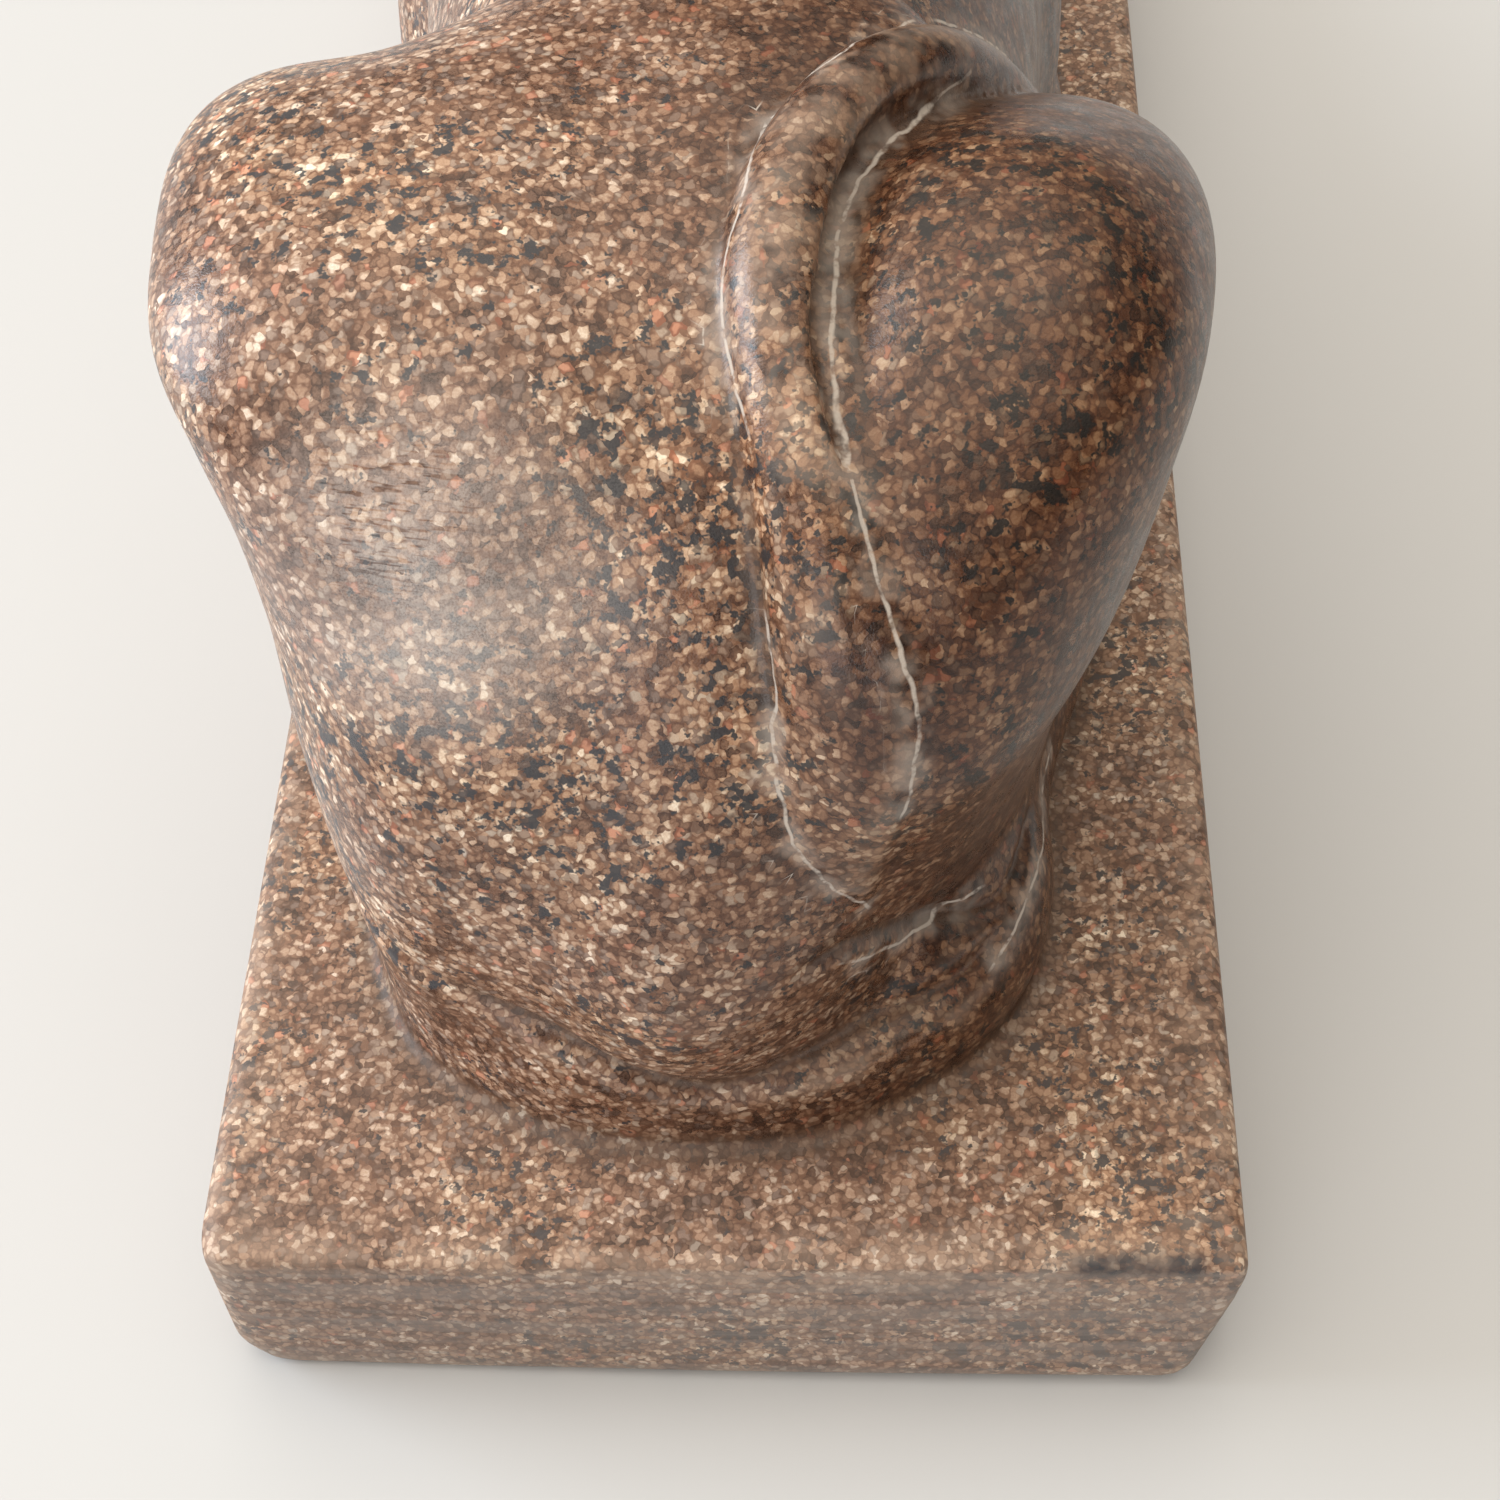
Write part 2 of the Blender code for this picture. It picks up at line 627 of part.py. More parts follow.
def toe_groove(paw, toe):
    """The line over the front of a paw beside one toe: the paw is an ellipsoid of the tables."""
    (side, forward, up), (wide, long, high) = paw
    across = side + toe * TOE_SPACING * wide
    rows = []
    for angle in TOE_ANGLES:
        along, rise = long * math.cos(math.radians(angle)), high * math.sin(math.radians(angle))
        rows.append((across, forward + TOE_PROUD * along, up + TOE_PROUD * rise, TOE_GROOVE * wide))
    return rows


def forequarters(stone):
    for side, inward in ((1, RIGHT_SHOULDER_IN), (-1, LEFT_SHOULDER_IN)):
        arm = [(across - inward, forward, up, radius) for across, forward, up, radius in UPPER_ARM]
        stone.add(limb("upper arm", arm, side), EASY)
        stone.add(limb("forearm", FOREARM, side), SOFT)
        for paw in (FORE_PAW, HIND_PAW):
            stone.add(ellipsoid(*mirrored(paw, side)), SOFT)
            for toe in TOES:
                stone.cut(limb("toe groove", toe_groove(paw, toe), side), CRISP)


def mirrored(mass, side):
    """A round mass of the tables, on the sphinx's right at side 1 or its left at -1."""
    (across, forward, up), radii = mass
    return (side * across, forward, up), radii


def head(stone):
    stone.add(ellipsoid(*NECK), EASY)
    stone.add(loft_up("headcloth", HEADCLOTH), CLOSE, sloping_pleats)
    stone.add(limb("queue", QUEUE), SOFT)
    for side in (1, -1):
        stone.add(loft_up("lappet", LAPPET, side), CRISP, level_pleats)
    stone.add(ellipsoid(*FACE), CRISP)
    stone.add(ellipsoid(*JAW), EASY)
    stone.add(ellipsoid(*CHIN), SOFT)
    stone.add(limb("brow band", BROW_BAND), CRISP)
    for side in (1, -1):
        stone.add(ellipsoid(*mirrored(CHEEK, side)), SOFT)
        stone.cut(ellipsoid(*mirrored(EYE_SOCKET, side)), SOFT)
        stone.add(ellipsoid(*mirrored(EYE, side)), CRISP / 2)
    upper_lid, lower_lid, brow = (stone.lay(line, 1) for line in (UPPER_LID, LOWER_LID, BROW))
    for side in (1, -1):
        stone.add(limb("upper lid", upper_lid, side), CRISP / 2)
        stone.add(limb("lower lid", lower_lid, side), CRISP / 2)
        stone.add(limb("brow", brow, side), CLOSE)
        stone.add(ellipsoid(*mirrored(NOSTRIL, side)), CRISP)
        stone.add(ellipsoid(*mirrored(EAR, side), turn=side * EAR_TURN), CRISP)
        stone.cut(ellipsoid(*mirrored(EAR_HOLLOW, side)), CRISP)
    stone.add(limb("nose", NOSE), CLOSE)
    stone.add(ellipsoid(*UPPER_LIP), CRISP)
    stone.add(ellipsoid(*LOWER_LIP), CRISP)
    stone.cut(limb("mouth", stone.lay(MOUTH, 1)), CRISP / 2)


def sculpt(grain):
    """The whole figure and plinth as one stone."""
    stone = Block(grain)
    hindquarters(stone)
    forequarters(stone)
    head(stone)
    stone.add(plinth(), CLOSE, worn=WORN)
    return stone


def dress_faces(obj):
    """Works the skin down to few, larger faces, and levels the underside."""
    triangles = 2 * len(obj.data.polygons)
    fewer = obj.modifiers.new("faces", "DECIMATE")
    fewer.ratio = MOST_TRIANGLES / triangles
    graph = bpy.context.evaluated_depsgraph_get()
    coarse = bpy.data.meshes.new_from_object(obj.evaluated_get(graph))
    obj.modifiers.clear()
    obj.data = coarse
    for vertex in coarse.vertices:
        if vertex.co.z < GRAIN / 2:
            vertex.co.z = 0


def granite():
    material = bpy.data.materials.new("speckled granite")
    material.use_nodes = True
    shader = material.node_tree.nodes["Principled BSDF"]
    shader.inputs["Base Color"].default_value = GRANITE
    shader.inputs["Roughness"].default_value = POLISH
    shader.inputs["Metallic"].default_value = 0
    return material


def main():
    clear_scene()
    figure = bpy.data.collections.new("sphinx statue")
    bpy.context.scene.collection.children.link(figure)
    obj = sculpt(GRAIN).surface("sphinx")
    dress_faces(obj)
    bpy.context.scene.collection.objects.unlink(obj)
    figure.objects.link(obj)
    obj.data.name = "sphinx"
    obj.data.materials.append(granite())
    obj.data.shade_smooth()
    obj.data.set_sharp_from_angle(angle=math.radians(SHARP_FROM))


if __name__ == "__main__":
    main()
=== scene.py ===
"""The looks of the granite sphinx: the same carving as the solid's, on a finer grain, in polished stone.

The figure is drawn on a square grid, as stone carvers draw one on a block. A place on the
grid is (side, forward, up) in squares: side is positive to the sphinx's right, forward runs
towards the paws, and up starts at the top of the plinth. The sphinx looks along -Y.
"""

import math

import bmesh
import bpy
import numpy as np
import openvdb as vdb
from mathutils import Matrix, Vector


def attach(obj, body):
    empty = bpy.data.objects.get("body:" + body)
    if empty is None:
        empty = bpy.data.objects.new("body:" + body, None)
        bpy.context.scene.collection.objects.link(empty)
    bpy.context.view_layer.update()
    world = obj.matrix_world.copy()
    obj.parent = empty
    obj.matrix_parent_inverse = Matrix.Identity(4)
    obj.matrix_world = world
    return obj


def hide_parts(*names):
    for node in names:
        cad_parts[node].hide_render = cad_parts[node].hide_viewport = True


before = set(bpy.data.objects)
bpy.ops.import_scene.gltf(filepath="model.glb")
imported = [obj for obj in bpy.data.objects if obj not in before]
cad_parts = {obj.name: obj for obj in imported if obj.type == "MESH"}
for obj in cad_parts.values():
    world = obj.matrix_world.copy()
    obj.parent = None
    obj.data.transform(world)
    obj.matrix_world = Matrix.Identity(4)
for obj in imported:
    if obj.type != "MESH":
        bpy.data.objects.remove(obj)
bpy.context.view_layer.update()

# Sizes of the block, in metres
FIGURE_LENGTH = 0.476
PLINTH_HEIGHT = 0.046
END_LEDGE = 0.0255
SIDE_LEDGE = 0.0115
PLINTH_ARRIS = 0.0035
REAR_LEAN = 0.0034

# The carver's grid: where the figure starts and ends on it, and how wide its haunches are
GRID_REAR = 0.12
GRID_FRONT = 2.50
GRID_WIDTH = 0.90
CROWN = 1.60
SQUARE = FIGURE_LENGTH / (GRID_FRONT - GRID_REAR)
PLINTH_LENGTH = FIGURE_LENGTH + 2 * END_LEDGE + REAR_LEAN
PLINTH_WIDTH = GRID_WIDTH * SQUARE + 2 * SIDE_LEDGE

# Pleats of the headcloth, in squares
PLEAT_PITCH = 0.062
PLEAT_DEPTH = 0.007
PLEAT_GROOVE = 0.012
PLEAT_SLANT = 0.5
PLEAT_FADE = 0.10

# How softly one form runs into the next, in squares
CRISP = 0.010
CLOSE = 0.02
SOFT = 0.03
EASY = 0.06
FULL = 0.09

# Working of the block
RING = 96
REACH = 0.022
LEAST_RADIUS = 0.002


def at(side, forward, up):
    """A place on the grid, in metres."""
    rear = PLINTH_LENGTH / 2 - REAR_LEAN - END_LEDGE
    return Vector((-side * SQUARE, rear - (forward - GRID_REAR) * SQUARE, PLINTH_HEIGHT + up * SQUARE))


def new_object(name, mesh):
    obj = bpy.data.objects.new(name, mesh)
    bpy.context.scene.collection.objects.link(obj)
    return obj


def ellipsoid(centre, radii, tilt=0.0, turn=0.0):
    """A sphere stretched to radii (side, forward, up), tilted about the side axis and turned about up."""
    bpy.ops.mesh.primitive_uv_sphere_add(segments=48, ring_count=24, radius=SQUARE)
    obj = bpy.context.object
    obj.scale = radii
    obj.rotation_euler = (math.radians(tilt), 0, math.radians(turn))
    obj.location = at(*centre)
    return obj


def superellipse(power, count=RING):
    """Points round a unit superellipse, from round at power 2 to nearly square."""
    for i in range(count):
        angle = math.tau * i / count
        c, s = math.cos(angle), math.sin(angle)
        yield math.copysign(abs(c) ** (2 / power), c), math.copysign(abs(s) ** (2 / power), s)


def skin(name, rings):
    """A closed mesh through rings of points, each with the same number of points."""
    shape = bmesh.new()
    loops = [[shape.verts.new(p) for p in ring] for ring in rings]
    for low, high in zip(loops, loops[1:]):
        for i in range(len(low)):
            j = (i + 1) % len(low)
            shape.faces.new((low[i], low[j], high[j], high[i]))
    shape.faces.new(reversed(loops[0]))
    shape.faces.new(loops[-1])
    bmesh.ops.recalc_face_normals(shape, faces=shape.faces)
    mesh = bpy.data.meshes.new(name)
    shape.to_mesh(mesh)
    shape.free()
    return new_object(name, mesh)


def smooth_stations(stations, steps=6):
    """More stations between the given ones, on a smooth curve through them."""
    rows = np.array(stations, float)
    ends = np.vstack([2 * rows[0] - rows[1], rows, 2 * rows[-1] - rows[-2]])
    made = []
    for i in range(1, len(ends) - 2):
        a, b, c, d = ends[i - 1:i + 3]
        for k in range(steps):
            t = k / steps
            made.append(0.5 * (2 * b + (c - a) * t + (2 * a - 5 * b + 4 * c - d) * t ** 2
                               + (3 * b - a - 3 * c + d) * t ** 3))
    made.append(rows[-1])
    return made


def loft_along(name, stations):
    """A form of upright sections: (forward, half width, lowest, highest, power)."""
    rings = []
    for forward, wide, low, high, power in smooth_stations(stations):
        middle, half = (low + high) / 2, (high - low) / 2
        rings.append([at(wide * x, forward, middle + half * y) for x, y in superellipse(power)])
    return skin(name, rings)


def loft_up(name, stations, flip=1):
    """A form of level sections: (up, side, forward, half width, half length, power, splay)."""
    rings = []
    for up, side, forward, wide, long, power, splay in smooth_stations(stations):
        ring = []
        for x, y in superellipse(power):
            ring.append(at(flip * (side + wide * x + splay * long * y), forward + long * y, up))
        rings.append(ring)
    return skin(name, rings)


def limb(name, stations, flip=1):
    """A round tapering form along a bent line: (side, forward, up, radius)."""
    curve = bpy.data.curves.new(name, "CURVE")
    curve.dimensions = "3D"
    curve.bevel_depth = SQUARE
    curve.bevel_resolution = 6
    curve.use_fill_caps = True
    rows = smooth_stations(stations)
    spline = curve.splines.new("POLY")
    spline.points.add(len(rows) - 1)
    for point, (side, forward, up, radius) in zip(spline.points, rows):
        point.co = (*at(flip * side, forward, up), 1)
        point.radius = max(radius, LEAST_RADIUS)
    obj = new_object(name, curve)
    solid = bpy.data.meshes.new_from_object(obj.evaluated_get(bpy.context.evaluated_depsgraph_get()))
    bpy.data.objects.remove(obj)
    return new_object(name, solid)


class Block:
    """The stone as a grid of distances to its surface, negative inside."""

    def __init__(self, grain):
        self.grain = grain
        self.scale = vdb.createLinearTransform(voxelSize=grain)
        low = np.array((-PLINTH_WIDTH / 2, -PLINTH_LENGTH / 2, 0)) - REACH
        high = np.array((PLINTH_WIDTH / 2, PLINTH_LENGTH / 2, at(0, 0, CROWN).z)) + REACH
        self.start = np.floor(low / grain).astype(int)
        self.size = np.ceil(high / grain).astype(int) - self.start
        self.distance = np.full(self.size, REACH, np.float32)
        origin = at(0, 0, 0)
        ends = zip(self.start, self.start + self.size)
        x, y, z = (line * grain for line in np.ogrid[tuple(slice(a, b) for a, b in ends)])
        self.side = (origin.x - x) / SQUARE
        self.forward = (origin.y - y) / SQUARE
        self.up = (z - origin.z) / SQUARE

    def measure(self, obj):
        """Where in the grid a mesh object reaches, and the distances to it there. It removes the object."""
        graph = bpy.context.evaluated_depsgraph_get()
        made = obj.evaluated_get(graph)
        mesh = made.to_mesh()
        mesh.calc_loop_triangles()
        points = np.empty(len(mesh.vertices) * 3, np.float32)
        mesh.vertices.foreach_get("co", points)
        triangles = np.empty(len(mesh.loop_triangles) * 3, np.int32)
        mesh.loop_triangles.foreach_get("vertices", triangles)
        world = np.array(made.matrix_world, np.float64)
        points = points.reshape(-1, 3) @ world[:3, :3].T + world[:3, 3]
        made.to_mesh_clear()
        bpy.data.objects.remove(obj)
        grid = vdb.FloatGrid.createLevelSetFromPolygons(
            points.astype(np.float32), triangles=triangles.reshape(-1, 3).astype(np.uint32),
            transform=self.scale, halfWidth=REACH / self.grain)
        low = np.floor((points.min(axis=0) - REACH) / self.grain).astype(int) - self.start
        high = np.ceil((points.max(axis=0) + REACH) / self.grain).astype(int) - self.start
        low, high = np.maximum(low, 0), np.minimum(high, self.size)
        found = np.empty(high - low, np.float32)
        grid.copyToArray(found, ijk=tuple(int(n) for n in self.start + low))
        return tuple(slice(a, b) for a, b in zip(low, high)), found

    def add(self, obj, fillet, lines=None, worn=(), relief=None):
        """Joins a form to the stone with a fillet, after lines and worn planes are cut into the form.

        With a relief, the form stands no higher than that above the stone.
        """
        window, found = self.measure(obj)
        side, forward, up = self.side[window[0]], self.forward[:, window[1]], self.up[:, :, window[2]]
        if lines:
            found = found + SQUARE * lines(side, up)
        for place, outward, ease in worn:
            a, b, c = Vector(outward).normalized()
            beyond = SQUARE * (a * (side - place[0]) + b * (forward - place[1]) + c * (up - place[2]))
            found = -blended(-found, -beyond, ease * SQUARE)
        if relief:
            found = -blended(-found, relief * SQUARE - self.distance[window], CLOSE * SQUARE)
        self.distance[window] = blended(self.distance[window], found, fillet * SQUARE)

    def cut(self, obj, ease):
        """Takes a form out of the stone, with its edges eased."""
        window, found = self.measure(obj)
        self.distance[window] = -blended(-self.distance[window], found, ease * SQUARE)

    def lay(self, line, facing=-1):
        """Stations for a limb on a line, (side, up, radius), along the stone's rear or, facing 1, front."""
        stations = []
        for side, up, radius in line:
            x, _, z = np.array(at(side, 0, up)) / self.grain - self.start
            i, k = int(x), int(z)
            shares = (i + 1 - x, x - i), (k + 1 - z, z - k)
            column = np.einsum("i,ijk,k", shares[0], self.distance[i:i + 2, :, k:k + 2], shares[1])
            inside = np.flatnonzero(column < 0)
            j = inside[0] if facing > 0 else inside[-1]
            share = column[j] / (column[j] - column[j - facing])
            forward = self.forward[0, j, 0] + share * facing * self.grain / SQUARE
            stations.append((side, forward, up, radius))
        return stations

    def surface(self, name):
        """The stone's skin as a mesh object."""
        grid = vdb.FloatGrid(REACH)
        grid.transform = self.scale
        grid.copyFromArray(self.distance, ijk=tuple(int(n) for n in self.start))
        points, quads = grid.convertToQuads(isovalue=0.0)
        mesh = bpy.data.meshes.new(name)
        mesh.from_pydata(points.tolist(), [], quads.tolist())
        return new_object(name, mesh)


def blended(a, b, fillet):
    """The nearer of two distances, eased over a fillet where they are alike."""
    ease = np.clip(0.5 + 0.5 * (b - a) / fillet, 0, 1)
    return b + (a - b) * ease - fillet * ease * (1 - ease)


def pleats(side, up, slant):
    """Depth of even grooves across a cloth, which slope down to its sides."""
    run = (up + slant * abs(side)) / PLEAT_PITCH
    across = abs(run - np.round(run)) * PLEAT_PITCH
    return PLEAT_DEPTH * np.exp(-(across / PLEAT_GROOVE) ** 2)


def level_pleats(side, up):
    return pleats(side, up, 0)


def sloping_pleats(side, up):
    """Pleats that fade out on the crown."""
    return pleats(side, up, PLEAT_SLANT) * np.clip((CROWN - up) / PLEAT_FADE - 1, 0, 1)


# Forms of the figure, in squares of the grid
TORSO = (
    (0.45, 0.20, -0.06, 0.80, 2.2),
    (0.65, 0.300, -0.08, 0.835, 2.1),
    (0.90, 0.318, -0.08, 0.82, 2.0),
    (1.15, 0.335, -0.08, 0.82, 2.1),
    (1.40, 0.352, -0.08, 0.855, 2.2),
    (1.60, 0.355, -0.06, 0.90, 2.2),
    (1.76, 0.325, 0.00, 0.92, 2.2),
    (1.87, 0.260, 0.10, 0.87, 2.1),
    (1.935, 0.150, 0.25, 0.71, 2.0),
    (1.955, 0.060, 0.39, 0.57, 2.0),
)

RUMP = (
    (-0.06, -0.02, 0.52, 0.315, 0.370, 2.0, 0),
    (0.08, -0.02, 0.52, 0.315, 0.384, 1.85, 0),
    (0.18, -0.025, 0.52, 0.322, 0.418, 1.72, 0),
    (0.28, -0.025, 0.52, 0.326, 0.430, 1.78, 0),
    (0.40, -0.015, 0.53, 0.332, 0.412, 1.95, 0),
    (0.50, 0, 0.54, 0.335, 0.387, 2.1, 0),
    (0.60, 0, 0.56, 0.33, 0.36, 2.2, 0),
    (0.70, 0, 0.60, 0.31, 0.34, 2.2, 0),
    (0.76, 0, 0.63, 0.28, 0.32, 2.2, 0),
    (0.81, 0, 0.66, 0.23, 0.28, 2.2, 0),
    (0.845, 0, 0.68, 0.15, 0.20, 2.0, 0),
    (0.855, 0, 0.68, 0.05, 0.07, 2.0, 0),
)

LEFT_THIGH = (
    (-0.06, 0.232, 0.50, 0.126, 0.290, 2.4, 0.02),
    (0.08, 0.236, 0.50, 0.130, 0.300, 2.4, 0.03),
    (0.18, 0.242, 0.50, 0.138, 0.318, 2.4, 0.05),
    (0.28, 0.249, 0.51, 0.148, 0.340, 2.3, 0.08),
    (0.40, 0.254, 0.52, 0.157, 0.356, 2.3, 0.12),
    (0.52, 0.257, 0.54, 0.167, 0.360, 2.3, 0.16),
    (0.64, 0.262, 0.558, 0.176, 0.335, 2.4, 0.14),
    (0.73, 0.264, 0.560, 0.187, 0.300, 2.6, 0.11),
    (0.79, 0.262, 0.556, 0.194, 0.245, 2.9, 0.08),
    (0.83, 0.258, 0.550, 0.164, 0.195, 2.6, 0.06),
    (0.86, 0.254, 0.545, 0.105, 0.130, 2.2, 0.04),
    (0.87, 0.254, 0.545, 0.030, 0.04, 2.0, 0),
)

RIGHT_THIGH = (
    (-0.06, 0.215, 0.53, 0.110, 0.23, 2.3, 0.10),
    (0.08, 0.215, 0.53, 0.112, 0.24, 2.3, 0.14),
    (0.18, 0.220, 0.54, 0.118, 0.270, 2.3, 0.18),
    (0.28, 0.228, 0.54, 0.130, 0.325, 2.3, 0.22),
    (0.40, 0.238, 0.54, 0.147, 0.370, 2.3, 0.24),
    (0.52, 0.252, 0.53, 0.170, 0.380, 2.3, 0.22),
    (0.64, 0.260, 0.53, 0.185, 0.350, 2.3, 0.20),
    (0.73, 0.265, 0.520, 0.186, 0.285, 2.3, 0.14),
    (0.79, 0.270, 0.505, 0.163, 0.215, 2.3, 0.08),
    (0.83, 0.272, 0.495, 0.125, 0.155, 2.2, 0.04),
    (0.86, 0.272, 0.490, 0.080, 0.100, 2.2, 0),
    (0.875, 0.272, 0.490, 0.030, 0.04, 2.0, 0),
)

HEEL_BAND = (
    (-0.06, -0.020, 0.48, 0.352, 0.358, 2.3, 0),
    (0.00, -0.020, 0.48, 0.350, 0.356, 2.3, 0),
    (0.06, -0.020, 0.48, 0.350, 0.358, 2.3, 0),
    (0.10, -0.020, 0.48, 0.344, 0.355, 2.3, 0),
    (0.125, -0.020, 0.48, 0.32, 0.335, 2.3, 0),
)

LEFT_HEEL = (
    (-0.06, -0.020, 0.48, 0.350, 0.356, 2.3, 0),
    (0.10, -0.020, 0.48, 0.350, 0.356, 2.3, 0),
    (0.20, -0.020, 0.48, 0.350, 0.356, 2.3, 0),
    (0.30, -0.020, 0.48, 0.350, 0.352, 2.3, 0),
)

# The plane down which the left heel falls to the middle
HEEL_FALL = ((-0.03, 0, 0.100), (0.45, 0, 1), 0.02)

HIND_FOOT = (
    (0.235, 0.40, 0.060, 0.060),
    (0.270, 0.54, 0.063, 0.068),
    (0.325, 0.74, 0.066, 0.074),
    (0.352, 0.95, 0.062, 0.072),
    (0.360, 1.10, 0.055, 0.066),
    (0.360, 1.16, 0.045, 0.050),
)

TAIL = (
    (0.138, 0.245, 0.50, 0.045),
    (0.139, 0.222, 0.58, 0.060),
    (0.136, 0.245, 0.65, 0.063),
    (0.125, 0.288, 0.71, 0.060),
    (0.108, 0.335, 0.76, 0.055),
    (0.094, 0.385, 0.797, 0.050),
    (0.086, 0.450, 0.830, 0.047),
    (0.093, 0.520, 0.845, 0.045),
    (0.116, 0.590, 0.852, 0.043),
    (0.148, 0.650, 0.852, 0.040),
    (0.188, 0.700, 0.838, 0.039),
    (0.226, 0.748, 0.802, 0.038),
    (0.262, 0.805, 0.735, 0.037),
    (0.298, 0.870, 0.640, 0.036),
    (0.332, 0.945, 0.520, 0.035),
    (0.360, 1.015, 0.400, 0.036),
    (0.376, 1.070, 0.285, 0.044),
    (0.380, 1.100, 0.185, 0.048),
    (0.380, 1.115, 0.105, 0.030),
)

TAIL_END = (
    (0.148, 0.172, 0.350, 0.010),
    (0.144, 0.158, 0.410, 0.026),
    (0.137, 0.154, 0.470, 0.045),
    (0.138, 0.160, 0.540, 0.058),
    (0.142, 0.176, 0.600, 0.063),
    (0.138, 0.196, 0.650, 0.059),
    (0.128, 0.225, 0.690, 0.050),
    (0.112, 0.262, 0.740, 0.040),
)

# How far the tail's end stands above the haunch
TAIL_RELIEF = 0.011

UPPER_ARM = (
    (0.270, 1.64, 0.66, 0.080),
    (0.290, 1.56, 0.52, 0.110),
    (0.300, 1.46, 0.36, 0.118),
    (0.296, 1.37, 0.21, 0.108),
    (0.290, 1.33, 0.12, 0.080),
)

FOREARM = (
    (0.292, 1.31, 0.11, 0.075),
    (0.288, 1.40, 0.125, 0.108),
    (0.272, 1.62, 0.125, 0.116),
    (0.245, 1.90, 0.110, 0.106),
    (0.224, 2.15, 0.098, 0.098),
    (0.218, 2.32, 0.090, 0.094),
)

HEADCLOTH = (
    (0.84, 0, 1.61, 0.18, 0.10, 2.2, 0),
    (0.885, 0, 1.635, 0.27, 0.150, 2.4, 0),
    (0.92, 0, 1.655, 0.315, 0.180, 2.8, 0),
    (0.98, 0, 1.675, 0.330, 0.185, 3.0, 0),
    (1.08, 0, 1.71, 0.322, 0.175, 3.0, 0),
    (1.18, 0, 1.735, 0.300, 0.172, 3.0, 0),
    (1.28, 0, 1.755, 0.272, 0.178, 2.8, 0),
    (1.37, 0, 1.772, 0.240, 0.190, 2.5, 0),
    (1.44, 0, 1.785, 0.208, 0.190, 2.3, 0),
    (1.50, 0, 1.79, 0.165, 0.165, 2.1, 0),
    (1.545, 0, 1.79, 0.105, 0.110, 2.0, 0),
    (1.565, 0, 1.79, 0.035, 0.035, 2.0, 0),
)

QUEUE = (
    (0, 1.60, 1.12, 0.060),
    (0, 1.545, 1.02, 0.058),
    (0, 1.485, 0.94, 0.050),
    (0, 1.41, 0.885, 0.042),
    (0, 1.33, 0.845, 0.034),
    (0, 1.27, 0.815, 0.020),
)

BROW_BAND = (
    (0.206, 1.850, 1.350, 0.012),
    (0.188, 1.893, 1.370, 0.016),
    (0.125, 1.944, 1.390, 0.018),
    (0.060, 1.963, 1.398, 0.019),
    (0.000, 1.969, 1.400, 0.019),
    (-0.060, 1.963, 1.398, 0.019),
    (-0.125, 1.944, 1.390, 0.018),
    (-0.188, 1.893, 1.370, 0.016),
    (-0.206, 1.850, 1.350, 0.012),
)

NOSE = (
    (0, 1.964, 1.318, 0.017),
    (0, 1.984, 1.262, 0.021),
    (0, 2.000, 1.212, 0.025),
    (0, 2.002, 1.190, 0.026),
)

LAPPET = (
    (0.585, 0.150, 1.915, 0.060, 0.035, 3.0, 0),
    (0.61, 0.151, 1.925, 0.070, 0.040, 4.0, 0),
    (0.75, 0.160, 1.925, 0.080, 0.045, 4.0, 0),
    (0.88, 0.178, 1.895, 0.092, 0.050, 4.0, 0),
    (0.99, 0.200, 1.840, 0.105, 0.055, 4.0, 0),
    (1.10, 0.210, 1.780, 0.095, 0.050, 3.0, 0),
    (1.20, 0.200, 1.740, 0.060, 0.040, 2.5, 0),
)


# The groove between the tail and the right thigh: (side, forward, up, radius)
TAIL_CREASE = (
    (0.235, 0.682, 0.838, 0.006),
    (0.201, 0.642, 0.850, 0.010),
    (0.169, 0.600, 0.853, 0.013),
    (0.146, 0.556, 0.850, 0.014),
    (0.133, 0.495, 0.846, 0.014),
    (0.125, 0.440, 0.840, 0.014),
    (0.124, 0.385, 0.832, 0.013),
    (0.130, 0.335, 0.808, 0.010),
    (0.141, 0.290, 0.776, 0.006),
)

# Lines drawn on the rear, (side, up, radius): the hock, and the heels, whose line dips to a blunt point
HOCK_CREASE = (
    (0.085, 0.288, 0.003),
    (0.112, 0.291, 0.009),
    (0.145, 0.280, 0.012),
    (0.180, 0.236, 0.013),
    (0.210, 0.203, 0.013),
    (0.251, 0.182, 0.012),
    (0.285, 0.172, 0.008),
    (0.310, 0.168, 0.004),
)

HEEL_CREASE = (
    (-0.372, 0.245, 0.004),
    (-0.335, 0.240, 0.010),
    (-0.262, 0.214, 0.012),
    (-0.200, 0.192, 0.012),
    (-0.140, 0.166, 0.012),
    (-0.085, 0.136, 0.012),
    (-0.045, 0.111, 0.012),
    (-0.005, 0.099, 0.012),
    (0.040, 0.103, 0.012),
    (0.090, 0.115, 0.012),
    (0.179, 0.124, 0.011),
    (0.237, 0.139, 0.009),
    (0.275, 0.152, 0.004),
)

# Lines drawn on the face, (side, up, radius)
BROW = (
    (0.022, 1.318, 0.006),
    (0.052, 1.331, 0.009),
    (0.088, 1.332, 0.009),
    (0.122, 1.312, 0.005),
)

UPPER_LID = (
    (0.030, 1.259, 0.005),
    (0.047, 1.276, 0.008),
    (0.070, 1.284, 0.009),
    (0.094, 1.278, 0.008),
    (0.116, 1.260, 0.005),
)

LOWER_LID = (
    (0.032, 1.257, 0.004),
    (0.050, 1.247, 0.006),
    (0.071, 1.243, 0.007),
    (0.093, 1.248, 0.006),
    (0.114, 1.259, 0.004),
)

